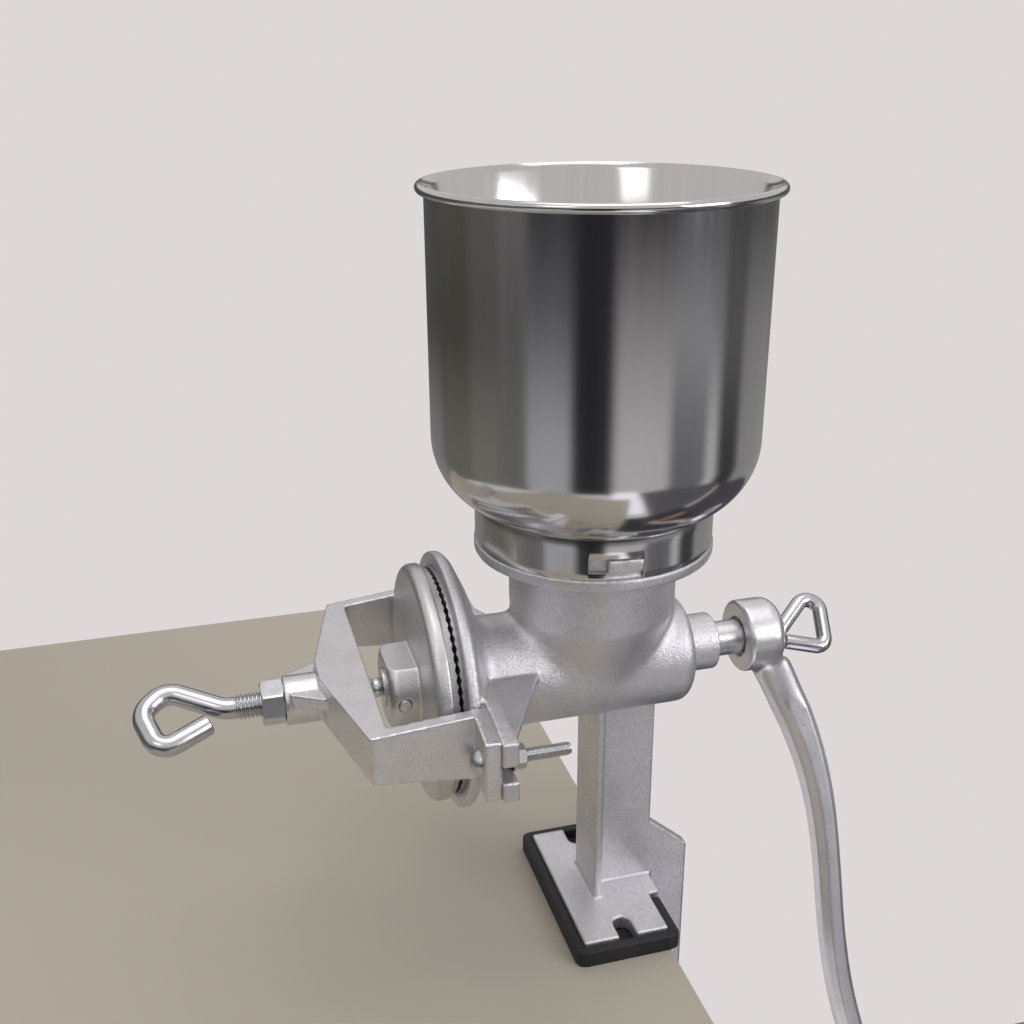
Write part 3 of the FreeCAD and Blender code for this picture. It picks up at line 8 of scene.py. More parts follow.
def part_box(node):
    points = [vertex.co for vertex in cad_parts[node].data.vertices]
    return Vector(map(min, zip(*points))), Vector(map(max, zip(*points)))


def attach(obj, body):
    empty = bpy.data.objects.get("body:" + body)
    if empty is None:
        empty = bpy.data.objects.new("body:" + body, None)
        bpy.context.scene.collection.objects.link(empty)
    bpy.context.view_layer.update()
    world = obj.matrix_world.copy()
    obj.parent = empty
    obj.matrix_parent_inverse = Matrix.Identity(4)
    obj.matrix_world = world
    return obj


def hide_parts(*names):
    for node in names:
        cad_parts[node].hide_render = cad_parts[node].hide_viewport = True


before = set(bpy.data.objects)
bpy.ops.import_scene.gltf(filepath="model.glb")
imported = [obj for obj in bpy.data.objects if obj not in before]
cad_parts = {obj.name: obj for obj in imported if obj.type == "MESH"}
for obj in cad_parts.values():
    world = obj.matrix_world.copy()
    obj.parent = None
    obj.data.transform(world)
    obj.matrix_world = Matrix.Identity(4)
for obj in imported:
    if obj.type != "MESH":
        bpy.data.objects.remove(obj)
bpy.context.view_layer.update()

mm = 0.001
shaftHeight = 124 * mm
xAxis, yAxis, zAxis = Vector((1, 0, 0)), Vector((0, 1, 0)), Vector((0, 0, 1))


# Camera and mesh helpers
camera = {
    "place": (-152.8 * mm, -421.7 * mm, 367.5 * mm),
    "target": (-33.8 * mm, 0, 193.4 * mm),
    "lens": 42.24,
    "sensor": 36,
    "roll": -0.32,
}


def placeCamera():
    data = bpy.data.cameras.new("photoCamera")
    data.lens = camera["lens"]
    data.sensor_width = camera["sensor"]
    data.clip_start = 0.01
    item = bpy.data.objects.new("photoCamera", data)
    bpy.context.scene.collection.objects.link(item)
    heading = Vector(camera["target"]) - Vector(camera["place"])
    turn = heading.to_track_quat("-Z", "Y").to_matrix().to_4x4()
    roll = Matrix.Rotation(math.radians(camera["roll"]), 4, "Z")
    item.matrix_world = Matrix.Translation(Vector(camera["place"])) @ turn @ roll
    bpy.context.scene.camera = item


def linkMesh(name, points, faces):
    mesh = bpy.data.meshes.new(name)
    mesh.from_pydata([tuple(p) for p in points], [], faces)
    mesh.validate()
    item = bpy.data.objects.new(name, mesh)
    bpy.context.scene.collection.objects.link(item)
    return item


def faceOutward(item):
    shell = bmesh.new()
    shell.from_mesh(item.data)
    bmesh.ops.remove_doubles(shell, verts=shell.verts, dist=1e-7)
    bmesh.ops.recalc_face_normals(shell, faces=shell.faces)
    shell.to_mesh(item.data)
    shell.free()


def smoothShade(item, sharpAngle=32):
    item.data.shade_smooth()
    item.data.set_sharp_from_angle(angle=math.radians(sharpAngle))


def dress(item, body, material, slot, *nodes):
    item.data.materials.clear()
    item.data.materials.append(material)
    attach(item, body)
    if nodes:
        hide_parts(*nodes)
    return item


# Mesh makers
def arcCorners(corners, step=6):
    # each corner (u, v) or (u, v, radius); rounded corners become short runs along their arc
    made = []
    count = len(corners)
    for index, corner in enumerate(corners):
        here = Vector(corner[:2])
        radius = corner[2] if len(corner) > 2 else 0
        if radius <= 0:
            made.append(here)
            continue
        back = (Vector(corners[index - 1][:2]) - here).normalized()
        ahead = (Vector(corners[(index + 1) % count][:2]) - here).normalized()
        half = back.angle(ahead) / 2
        if half > math.radians(89):
            made.append(here)
            continue
        trim = radius / math.tan(half)
        bisector = (back + ahead).normalized()
        centre = here + bisector * (radius / math.sin(half))
        start = here + back * trim - centre
        sweep = math.pi - 2 * half
        side = 1 if start.x * ahead.y - start.y * ahead.x > 0 else -1
        runs = max(2, round(math.degrees(sweep) / step))
        for part in range(runs + 1):
            angle = side * sweep * part / runs
            spun = Vector((start.x * math.cos(angle) - start.y * math.sin(angle),
                           start.x * math.sin(angle) + start.y * math.cos(angle)))
            made.append(centre + spun)
    return made


def turned(name, corners, along, origin, segments=96, closed=True, step=6):
    # a lathe piece: corners are (distance along, radius) about a line through origin
    profile = arcCorners(corners, step)
    side = along.orthogonal().normalized()
    other = along.cross(side)
    points, faces = [], []
    for ring in range(segments):
        angle = 2 * math.pi * ring / segments
        out = side * math.cos(angle) + other * math.sin(angle)
        points += [origin + along * p.x + out * max(p.y, 0) for p in profile]
    rows = len(profile)
    for ring in range(segments):
        following = (ring + 1) % segments
        for row in range(rows if closed else rows - 1):
            upper = (row + 1) % rows
            faces.append((ring * rows + row, following * rows + row,
                          following * rows + upper, ring * rows + upper))
    item = linkMesh(name, points, faces)
    faceOutward(item)
    smoothShade(item)
    return item


def routePoints(corners, radii, step=7):
    # a bent rod's middle line: straight runs joined by tangent arcs
    line = [Vector(corners[0])]
    for index in range(1, len(corners) - 1):
        here = Vector(corners[index])
        back = (Vector(corners[index - 1]) - here).normalized()
        ahead = (Vector(corners[index + 1]) - here).normalized()
        half = back.angle(ahead) / 2
        radius = radii[index - 1]
        centre = here + (back + ahead).normalized() * (radius / math.sin(half))
        start = here + back * (radius / math.tan(half)) - centre
        axis = start.cross(-back).normalized()
        sweep = math.pi - 2 * half
        runs = max(3, round(math.degrees(sweep) / step))
        for part in range(runs + 1):
            line.append(centre + Matrix.Rotation(sweep * part / runs, 3, axis) @ start)
    line.append(Vector(corners[-1]))
    return line


def sweptTube(line, radius, sides, endRounding):
    # rings of a round rod along a flat route, with a rounded far end
    flatNormal = (line[1] - line[0]).cross(line[-1] - line[0])
    for a, b, c in zip(line, line[1:], line[2:]):
        if (b - a).cross(c - b).length > flatNormal.length * 1e-3:
            flatNormal = (b - a).cross(c - b)
            break
    flatNormal.normalize()
    stops = [(p, radius) for p in line]
    last = (line[-1] - line[-2]).normalized()
    stops[-1] = (line[-1] - last * endRounding, radius)
    endSteps = 4
    for part in range(1, endSteps + 1):
        angle = math.pi / 2 * part / endSteps
        shrink = endRounding * (1 - math.cos(angle))
        stops.append((line[-1] - last * endRounding * (1 - math.sin(angle)), radius - shrink))
    rings = []
    for index, (place, reach) in enumerate(stops):
        before = stops[max(index - 1, 0)][0]
        after = stops[min(index + 1, len(stops) - 1)][0]
        heading = (after - before).normalized()
        side = heading.cross(flatNormal).normalized()
        ring = []
        for turn in range(sides):
            angle = 2 * math.pi * turn / sides
            ring.append(place + (side * math.cos(angle) + flatNormal * math.sin(angle)) * reach)
        rings.append(ring)
    return rings


def threadRings(start, end, core, crest, pitch, sides, taperEnd):
    # rings of a right-handed thread along X from start to end, as a helical ridge
    perTurn = 10
    count = max(2, round(abs(end - start) / pitch * perTurn))
    rings = []
    for row in range(count + 1):
        along = start + (end - start) * row / count
        fade = min(1.0, abs(along - start) / pitch, abs(end - along) / (pitch * taperEnd))
        ring = []
        for turn in range(sides):
            angle = 2 * math.pi * turn / sides
            phase = (along / pitch + angle / (2 * math.pi)) % 1.0
            rise = min(1.0, max(0.0, 1.9 * (1 - abs(2 * phase - 1)) - 0.35))
            reach = core + (crest - core) * rise * fade
            ring.append(Vector((along, reach * math.cos(angle), reach * math.sin(angle))))
        rings.append(ring)
    return rings


def shellFromRings(name, rings):
    sides = len(rings[0])
    points = [p for ring in rings for p in ring]
    faces = []
    for row in range(len(rings) - 1):
        for turn in range(sides):
            following = (turn + 1) % sides
            faces.append((row * sides + turn, row * sides + following,
                          (row + 1) * sides + following, (row + 1) * sides + turn))
    faces.append(tuple(range(sides))[::-1])
    top = (len(rings) - 1) * sides
    faces.append(tuple(range(top, top + sides)))
    item = linkMesh(name, points, faces)
    faceOutward(item)
    return item


def joinInto(name, items):
    shell = bmesh.new()
    for item in items:
        shell.from_mesh(item.data)
    mesh = bpy.data.meshes.new(name)
    shell.to_mesh(mesh)
    shell.free()
    for item in items:
        bpy.data.objects.remove(item)
    joined = bpy.data.objects.new(name, mesh)
    bpy.context.scene.collection.objects.link(joined)
    return joined


def placeShape(item, matrix):
    item.data.transform(matrix)
    return item


def nutShape(name, flats, height, bore, along, origin, turn=0.0):
    # a chamfered hexagon nut about a line; flats is the width across flats
    segments = 96
    rim = flats / 2 * 0.985
    rows = []
    side = along.orthogonal().normalized() if abs(along.x) < 0.9 else yAxis
    other = along.cross(side)
    for ring in range(segments):
        angle = 2 * math.pi * ring / segments
        local = (angle + turn + math.pi / 6) % (math.pi / 3) - math.pi / 6
        hexReach = flats / 2 / math.cos(local)
        drop = max(0.0, hexReach - rim) * math.tan(math.radians(30))
        lead = 0.5 * mm
        row = [(0, bore + lead), (0, rim), (drop, hexReach), (height - drop, hexReach),
               (height, rim), (height, bore + lead), (height - lead, bore), (lead, bore)]
        out = side * math.cos(angle) + other * math.sin(angle)
        rows.append([origin + along * a + out * r for a, r in row])
    points = [p for row in rows for p in row]
    size = len(rows[0])
    faces = []
    for ring in range(segments):
        following = (ring + 1) % segments
        for row in range(size):
            upper = (row + 1) % size
            faces.append((ring * size + row, following * size + row,
                          following * size + upper, ring * size + upper))
    item = linkMesh(name, points, faces)
    faceOutward(item)
    smoothShade(item, 22)
    return item


def bakeModifiers(item):
    depsgraph = bpy.context.evaluated_depsgraph_get()
    mesh = bpy.data.meshes.new_from_object(item.evaluated_get(depsgraph))
    item.modifiers.clear()
    item.data = mesh


def castCopy(node, name, voxel, rounds, blend=None, faceBudget=170000):
    # a casting's skin: the node's solid with its edges and inside corners softened, and with the
    # places that blend(point) gives a weight run together further
    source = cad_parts[node]
    item = bpy.data.objects.new(name, source.data.copy())
    bpy.context.scene.collection.objects.link(item)
    item.data.materials.clear()
    faceOutward(item)
    remesh = item.modifiers.new("skin", "REMESH")
    remesh.mode = "VOXEL"
    remesh.voxel_size = voxel
    soften = item.modifiers.new("soften", "SMOOTH")
    soften.factor = 0.5
    soften.iterations = rounds
    bakeModifiers(item)
    if blend:
        where, iterations = blend
        group = item.vertex_groups.new(name="blend")
        for vertex in item.data.vertices:
            weight = where(vertex.co)
            if weight > 0:
                group.add([vertex.index], min(1.0, weight), "REPLACE")
        melt = item.modifiers.new("melt", "SMOOTH")
        melt.factor = 0.5
        melt.iterations = iterations
        melt.vertex_group = "blend"
        bakeModifiers(item)
    if len(item.data.polygons) * 2 > faceBudget:
        thin = item.modifiers.new("thin", "DECIMATE")
        thin.ratio = faceBudget / (len(item.data.polygons) * 2)
        bakeModifiers(item)
    item.data.shade_smooth()
    return item


# Finishes
def newFinish(name, colour, metallic, roughness):
    material = bpy.data.materials.new(name)
    material.use_nodes = True
    shader = material.node_tree.nodes["Principled BSDF"]
    shader.inputs["Base Color"].default_value = (*colour, 1)
    shader.inputs["Metallic"].default_value = metallic
    shader.inputs["Roughness"].default_value = roughness
    return material, material.node_tree, shader


def objectPlace(tree, stretch=(1, 1, 1)):
    place = tree.nodes.new("ShaderNodeTexCoord")
    scale = tree.nodes.new("ShaderNodeMapping")
    scale.inputs["Scale"].default_value = stretch
    tree.links.new(place.outputs["Object"], scale.inputs["Vector"])
    return scale.outputs["Vector"]


def noiseField(tree, place, scale, detail=3.0, rough=0.55):
    field = tree.nodes.new("ShaderNodeTexNoise")
    field.inputs["Scale"].default_value = scale
    field.inputs["Detail"].default_value = detail
    field.inputs["Roughness"].default_value = rough
    tree.links.new(place, field.inputs["Vector"])
    return field.outputs["Fac"]


def ramp(tree, value, stops):
    made = tree.nodes.new("ShaderNodeValToRGB")
    elements = made.color_ramp.elements
    while len(elements) < len(stops):
        elements.new(0.5)
    for element, (position, colour) in zip(elements, stops):
        element.position = position
        element.color = (*colour, 1)
    tree.links.new(value, made.inputs["Fac"])
    return made.outputs["Color"]


def spread(tree, value, low, high, fromLow=0.3, fromHigh=0.7):
    made = tree.nodes.new("ShaderNodeMapRange")
    limits = {"From Min": fromLow, "From Max": fromHigh, "To Min": low, "To Max": high}
    for key, number in limits.items():
        made.inputs[key].default_value = number
    tree.links.new(value, made.inputs["Value"])
    return made.outputs["Result"]


def multiplied(tree, shader, colour, shade, amount=1.0):
    # the colour darkened or lightened by a shade, as the shader's base colour
    mix = tree.nodes.new("ShaderNodeMix")
    mix.data_type = "RGBA"
    mix.blend_type = "MULTIPLY"
    mix.inputs["Factor"].default_value = amount
    tree.links.new(colour, mix.inputs["A"])
    tree.links.new(shade, mix.inputs["B"])
    tree.links.new(mix.outputs["Result"], shader.inputs["Base Color"])


def bumpOf(tree, shader, height, strength, distance, below=None):
    made = tree.nodes.new("ShaderNodeBump")
    made.inputs["Strength"].default_value = strength
    made.inputs["Distance"].default_value = distance
    tree.links.new(height, made.inputs["Height"])
    if below is not None:
        tree.links.new(below, made.inputs["Normal"])
    tree.links.new(made.outputs["Normal"], shader.inputs["Normal"])
    return made.outputs["Normal"]


def grey(level, tint=(0, 0, 0)):
    return tuple(level + t for t in tint)


def castFinish(name, level, tint, roughLow, roughHigh, grain, pits, scale):
    # tinned casting: sand grain over slow lumps, a mottled tone and a fine sparkle
    material, tree, shader = newFinish(name, grey(level, tint), 0.92, roughLow)
    place = objectPlace(tree)
    mottle = noiseField(tree, place, 75, 4)
    lumps = noiseField(tree, place, scale * 0.3, 2)
    fine = noiseField(tree, place, scale, 4, 0.65)
    tone = ramp(tree, mottle, [(0.3, grey(level * 0.94, tint)), (0.7, grey(level * 1.06, tint))])
    sparkle = noiseField(tree, place, scale * 0.8, 3, 0.7)
    pitShade = spread(tree, sparkle, 1.0 - pits, 1.0 + pits * 0.6, 0.36, 0.66)
    multiplied(tree, shader, tone, pitShade)
    tree.links.new(spread(tree, fine, roughLow, roughHigh), shader.inputs["Roughness"])
    first = bumpOf(tree, shader, lumps, grain * 0.3, 0.3 * mm)
    bumpOf(tree, shader, fine, grain, 0.45 * mm, first)
    return material


def plateFinish(name, level, tint, rough):
    # bright zinc plate on drawn rod and turned parts
    material, tree, shader = newFinish(name, grey(level, tint), 1.0, rough)
    place = objectPlace(tree)
    slow = noiseField(tree, place, 140, 3)
    fine = noiseField(tree, place, 2600, 2)
    tone = ramp(tree, slow, [(0.3, grey(level * 0.93, tint)), (0.7, grey(level * 1.04, tint))])
    tree.links.new(tone, shader.inputs["Base Color"])
    tree.links.new(spread(tree, slow, rough * 0.75, rough * 1.35), shader.inputs["Roughness"])
    bumpOf(tree, shader, fine, 0.09, 0.03 * mm)
    return material


def hopperFinish():
    # polished sheet with the faint wave and rings that spinning leaves
    material, tree, shader = newFinish("polishedSheet", (0.60, 0.595, 0.59), 1.0, 0.13)
    place = objectPlace(tree)
    streaks = noiseField(tree, objectPlace(tree, (240, 240, 5)), 1.0, 3)
    wave = noiseField(tree, place, 16, 2)
    tree.links.new(spread(tree, streaks, 0.125, 0.165), shader.inputs["Roughness"])
    tone = ramp(tree, streaks, [(0.3, (0.578, 0.573, 0.568)), (0.7, (0.618, 0.613, 0.608))])
    tree.links.new(tone, shader.inputs["Base Color"])
    bumpOf(tree, shader, wave, 0.2, 0.5 * mm)
    return material


def rubberFinish():
    material, tree, shader = newFinish("blackRubber", (0.012, 0.012, 0.014), 0.0, 0.55)
    place = objectPlace(tree)
    fine = noiseField(tree, place, 1700, 3)
    slow = noiseField(tree, place, 90, 3)
    tone = ramp(tree, slow, [(0.3, (0.009, 0.009, 0.011)), (0.7, (0.02, 0.02, 0.023))])
    tree.links.new(tone, shader.inputs["Base Color"])
    tree.links.new(spread(tree, fine, 0.48, 0.68), shader.inputs["Roughness"])
    bumpOf(tree, shader, fine, 0.25, 0.08 * mm)
    return material


def woodFinish():
    # grain runs along the grip
    material, tree, shader = newFinish("turnedWood", (0.42, 0.24, 0.11), 0.0, 0.42)
    place = objectPlace(tree, (9, 150, 150))
    grain = noiseField(tree, place, 1.6, 6, 0.65)
    pores = noiseField(tree, objectPlace(tree, (60, 1600, 1600)), 1.0, 2)
    darkGrain, midGrain, paleGrain = (0.25, 0.125, 0.05), (0.43, 0.24, 0.11), (0.56, 0.35, 0.18)
    tone = ramp(tree, grain, [(0.25, darkGrain), (0.5, midGrain), (0.75, paleGrain)])
    multiplied(tree, shader, tone, spread(tree, pores, 0.6, 1.0, 0.35, 0.5), 0.5)
    tree.links.new(spread(tree, grain, 0.36, 0.52), shader.inputs["Roughness"])
    bumpOf(tree, shader, pores, 0.3, 0.06 * mm)
    return material


def plainFinish(name, colour, roughness):
    return newFinish(name, colour, 0.0, roughness)[0]


finishes = {
    "body": castFinish("tinnedCasting", 0.76, (0.002, 0, 0.022), 0.27, 0.46, 0.75, 0.1, 1000),
    "yoke": castFinish("smoothCasting", 0.75, (0, 0.003, 0.02), 0.25, 0.38, 0.28, 0.06, 1300),
    "crank": castFinish("brightCasting", 0.78, (0.004, 0, 0.022), 0.27, 0.38, 0.09, 0.03, 900),
    "rotor": castFinish("rotorCasting", 0.68, (0, 0.003, 0.01), 0.26, 0.4, 0.3, 0.08, 1300),
    "auger": castFinish("augerCasting", 0.7, (0, 0, 0.01), 0.24, 0.36, 0.2, 0.08, 1400),
    "burr": castFinish("burrIron", 0.55, (0, 0, 0.008), 0.32, 0.44, 0.3, 0.16, 1500),
    "zinc": plateFinish("zincPlate", 0.58, (0, 0.008, 0.03), 0.22),
    "screws": plateFinish("platedScrews", 0.64, (0, 0, 0.012), 0.26),
    "ball": plateFinish("bearingSteel", 0.66, (0, 0, 0.01), 0.08),
    "hopper": hopperFinish(),
    "rubber": rubberFinish(),
    "wood": woodFinish(),
}
print("finishes made:", len(finishes))


# Hopper
bowlLow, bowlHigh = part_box("hopper_bowl")
bowl = {
    "wall": 64 * mm,                    # radius of the straight wall, outside
    "sheet": 1.0 * mm,
    "shoulder": 30 * mm,
    "neck": 47.5 * mm,
    "lip": 43 * mm,
    "bead": 1.8 * mm,
    "beadOffset": 1.4 * mm,
}
slots = {
    "turn": -94.8,                      # degrees to the middle of the near lug
    "lug": 13.5 * mm,
    "play": 0.4 * mm,
    "travel": 8,                        # degrees that the hopper turns in its bayonet
    "low": 3 * mm,
    "high": 8.6 * mm,
    "ridge": 12 * mm,
}


def spunBowl():
    base = bowlLow.z
    reach = bowl["neck"] - (bowl["wall"] - bowl["shoulder"])
    rise = math.sqrt(bowl["shoulder"] ** 2 - reach ** 2)
    shoulderTop = base + rise
    beadMiddle = bowlHigh.z - bowl["bead"]
    centreRadius = bowl["wall"] - bowl["shoulder"]
    steps = 24

    def shoulderArc(radius, bottom):
        low = math.asin((shoulderTop - bottom) / radius)
        angles = [low * (1 - part / steps) for part in range(steps + 1)]
        return [(shoulderTop - radius * math.sin(a), centreRadius + radius * math.cos(a)) for a in angles]

    outer = [(base, bowl["lip"])] + shoulderArc(bowl["shoulder"], base)
    beadRadius = bowl["wall"] + bowl["beadOffset"]
    meet = math.acos(bowl["beadOffset"] / bowl["bead"])
    # the rolled rim runs from the wall's outside, under, round and over to its inside
    start = math.pi + meet
    bead = []
    for part in range(steps + 1):
        angle = start + (3 * math.pi - 2.3 * meet - start) * part / steps
        rise, out = bowl["bead"] * math.sin(angle), bowl["bead"] * math.cos(angle)
        bead.append((beadMiddle + rise, beadRadius + out))
    insideRadius = bowl["wall"] - bowl["sheet"]
    inner = shoulderArc(bowl["shoulder"] - bowl["sheet"], base + bowl["sheet"])[::-1]
    inner += [(base + bowl["sheet"], bowl["lip"])]
    inside = [(beadMiddle - 1.0 * mm, insideRadius)] + inner
    item = turned("hopperBowl", outer + bead + inside, zAxis, Vector(), segments=256)
    smoothShade(item, 50)
    return dress(item, "hopper", finishes["hopper"], "hopper_steel", "hopper_bowl")


spunBowl()


def bowlCollar():
    low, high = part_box("hopper_collar")
    radius, sheet = bowl["neck"], bowl["sheet"]
    lugTurn = math.radians(slots["turn"])
    half = (slots["lug"] / 2 + slots["play"]) / radius
    travel = math.radians(slots["travel"])
    slotLow, slotHigh = low.z + slots["low"], low.z + slots["high"]
    angles = {round(2 * math.pi * i / 360, 6) for i in range(360)}
    windows = []
    for side in (0, math.pi):
        middle = (lugTurn + side) % (2 * math.pi)
        windows.append((middle - half, middle + half, low.z, slotHigh))
        windows.append((middle - half - travel, middle + half, slotLow, slotHigh))
    for first, last, bottom, top in windows:
        angles |= {round(first % (2 * math.pi), 6), round(last % (2 * math.pi), 6)}
    turns = sorted(angles)
    angles = turns[:1]
    for angle in turns[1:]:
        if angle - angles[-1] > 1e-4:
            angles.append(angle)
    heights = [low.z, slotLow, slotHigh, low.z + slots["ridge"], high.z]
    points = [Vector((radius * math.cos(a), radius * math.sin(a), z)) for a in angles for z in heights]
    rows = len(heights)
    faces = []
    for index, angle in enumerate(angles):
        following = (index + 1) % len(angles)
        span = (angles[following] - angle) % (2 * math.pi)
        middle = angle + span / 2
        for row in range(rows - 1):
            level = (heights[row] + heights[row + 1]) / 2
            isOpen = any((middle - first) % (2 * math.pi) < last - first and bottom < level < top
                         for first, last, bottom, top in windows)
            if not isOpen:
                faces.append((index * rows + row, following * rows + row,
                              following * rows + row + 1, index * rows + row + 1))
    item = linkMesh("hopperCollar", points, faces)
    thick = item.modifiers.new("sheet", "SOLIDIFY")
    thick.thickness = sheet
    thick.offset = -1
    edge = item.modifiers.new("edge", "BEVEL")
    edge.width = 0.25 * mm
    edge.segments = 2
    edge.limit_method = "ANGLE"
    edge.angle_limit = math.radians(40)
    bakeModifiers(item)
    smoothShade(item, 40)
    return dress(item, "hopper", finishes["hopper"], "hopper_steel", "hopper_collar")


bowlCollar()
print("hopper made")


# Castings
throat = {
    "barrel": 23.5 * mm,
    "foot": 22 * mm,                    # the cone's radius where it starts, below the shaft's line
    "footDrop": 6 * mm,
    "flare": 0.375,
    "top": 34 * mm,
    "seam": 6 * mm,                     # how far the softening reaches to both sides of the seam
}
crankLean = math.radians(20)


def throatSeam(point):
    # high where the throat's cone runs into the barrel, on the outside only
    high = point.z - shaftHeight
    cone = min(throat["foot"] + (high + throat["footDrop"]) * throat["flare"], throat["top"])
    offCone = math.hypot(point.x, point.y) - cone
    offBarrel = math.hypot(point.y, high) - throat["barrel"]
    if high < -14 * mm or min(offCone, offBarrel) < -1.5 * mm:
        return 0.0
    return 1.5 - max(abs(offCone), abs(offBarrel)) / throat["seam"]


def crankRoot(point):
    # high where the arm leaves the crank's hub
    drop = -((point.z - shaftHeight) * math.cos(crankLean) + point.y * math.sin(crankLean)) / mm
    return min((drop - 6) / 4, (34 - drop) / 8, (point.x / mm - 70) / 4)


wormRoom = {"endWall": 30.1 * mm, "wall": 19.45 * mm, "bore": 7.8 * mm}


def openWormRoom(item):
    # the softened skin is set back from the worm's flight, its end and the shaft's journal
    endWall, wall, bore = wormRoom["endWall"], wormRoom["wall"], wormRoom["bore"]
    for vertex in item.data.vertices:
        x, y, z = vertex.co.x, vertex.co.y, vertex.co.z - shaftHeight
        reach = math.hypot(y, z)
        inBore = x > endWall - 1.1 * mm and reach < bore + 0.8 * mm
        onEnd = bore + 0.2 * mm < reach < wall and 0 < endWall - x < min(3 * mm, wall - reach)
        onWall = x < endWall and reach > wall - 2.95 * mm
        room = bore if inBore else wall
        if onEnd and not inBore:
            vertex.co.x = endWall
        elif (inBore or onWall) and reach < room:
            vertex.co.y = y * room / reach
            vertex.co.z = shaftHeight + z * room / reach


# each casting's node and name, its voxel in millimetres and rounds of softening, the place that is
# softened further, then its body, finish and slot
castings = [
    ("mill_body", "millCasting", 0.65, 5, (throatSeam, 220), "root", "body", "cast_body"),
    ("yoke", "yokeCasting", 0.5, 4, None, "root", "yoke", "cast_yoke"),
    ("crank_arm", "crankCasting", 0.5, 6, (crankRoot, 180), "rotor", "crank", "cast_crank"),
    ("rotor_plate", "rotorCasting", 0.5, 4, None, "rotor", "rotor", "cast_rotor"),
    ("foot_pad", "footTray", 0.5, 5, None, "root", "rubber", "rubber_foot"),
]
for node, name, voxel, rounds, blend, body, finish, slot in castings:
    piece = castCopy(node, name, voxel * mm, rounds, blend)
    if node == "mill_body":
        openWormRoom(piece)
    dress(piece, body, finishes[finish], slot, node)
    print(name, len(piece.data.polygons), "faces")


# Bent screws; a loop's points and the radii of its bends are in millimetres from the screw's neck
bigScrew = {"crest": 5.0 * mm, "core": 4.085 * mm, "pitch": 1.5 * mm, "rod": 4.24 * mm,
            "loop": [(0, 0), (-21.5, 11.9), (-31.6, 3.0), (-25.2, -15.0), (-6.2, -5.6)],
            "bends": [12.0, 8.0, 8.0, 5.8]}
thumbScrew = {"crest": 3.0 * mm, "core": 2.39 * mm, "pitch": 1.0 * mm, "rod": 3.25 * mm,
              "loop": [(1.5, 0), (26.0, 21.0), (19.8, -11.2), (1.8, -5.7)], "bends": [4.5, 5.5, 4.3]}


def bentScrew(name, size, threadStart, threadEnd, neck, matrix, extras=()):
    # drawn along X with the loop in the XZ plane, then set in place
    facing = -1 if threadEnd < threadStart else 1
    thread = threadRings(threadStart, threadEnd, size["core"], size["crest"], size["pitch"], 40, 2.0)
    rod = shellFromRings(name + "Thread", thread)
    corners = [(threadEnd - facing * 1.0 * mm, 0, 0)]
    corners += [(neck + x * mm, 0, z * mm) for x, z in size["loop"]]
    line = routePoints(corners, [b * mm for b in size["bends"]])
    tube = shellFromRings(name + "Loop", sweptTube(line, size["rod"], 32, 0.8 * mm))
    item = joinInto(name, [rod, tube, *extras])
    placeShape(item, matrix)
    smoothShade(item, 40)
    return item


def onShaftLine(leanDegrees):
    return Matrix.Translation((0, 0, shaftHeight)) @ Matrix.Rotation(math.radians(leanDegrees), 4, "X")


def adjustingScrew():
    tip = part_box("adjusting_screw")[1].x
    neck = -150.5 * mm
    item = bentScrew("adjustingScrew", bigScrew, tip, neck + 3 * mm, neck, onShaftLine(-63))
    return dress(item, "adjuster", finishes["zinc"], "zinc_rod", "adjusting_screw")


clamp = {"x": 5 * mm, "ballHeight": -33.5 * mm, "ball": 4 * mm, "stem": 2.8 * mm, "stemEnd": -7.8 * mm,
         "tip": -7 * mm, "length": 78 * mm}


def clampScrew():
    angles = [math.radians(44 + 136 * part / 16) for part in range(17)]
    corners = [(clamp["stemEnd"], 0), (clamp["stemEnd"], clamp["stem"])]
    corners += [(-clamp["ball"] * math.cos(a), clamp["ball"] * math.sin(a)) for a in angles]
    ball = turned("clampBall", corners, xAxis, Vector(), 48, closed=False)
    neck = clamp["tip"] - clamp["length"]
    upright = Matrix.Rotation(math.radians(-90), 4, "Y")
    place = Matrix.Translation((clamp["x"], 0, clamp["ballHeight"])) @ upright
    item = bentScrew("clampScrew", bigScrew, clamp["tip"], neck + 3 * mm, neck, place, [ball])
    return dress(item, "clamp_screw", finishes["zinc"], "zinc_rod", "clamp_screw")


def crankScrew():
    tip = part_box("crank_screw")[0].x
    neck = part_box("crank_washer")[1].x + 0.3 * mm
    item = bentScrew("crankScrew", thumbScrew, tip, neck - 2.3 * mm, neck, onShaftLine(-50))
    return dress(item, "crank_screw", finishes["zinc"], "zinc_rod", "crank_screw")


adjustingScrew()
clampScrew()
crankScrew()
print("bent screws made")


# Nuts, washers and bolts
def locknut():
    low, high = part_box("adjusting_locknut")
    item = nutShape("adjustingLocknut", 16 * mm, high.x - low.x, 4.6 * mm, xAxis,
                    Vector((low.x, 0, shaftHeight)), turn=math.radians(12))
    return dress(item, "locknut", finishes["zinc"], "zinc_rod", "adjusting_locknut")


yokeBolt = {
    "side": 63.5 * mm,                  # from the shaft's line to each bolt's line
    "seat": -64.5 * mm,
    "headReach": 5.2 * mm,
    "headRise": 3.5 * mm,
    "plainEnd": -52.5 * mm,
    "farEnd": -46 * mm,
    "crest": 2.5 * mm,
    "core": 2.0 * mm,
    "pitch": 0.8 * mm,
    "washer": (2.6 * mm, 5 * mm, 0.25 * mm),
    "nutFlats": 8 * mm,
}


def boltLine(x, side):
    return Vector((x, side * yokeBolt["side"], shaftHeight))


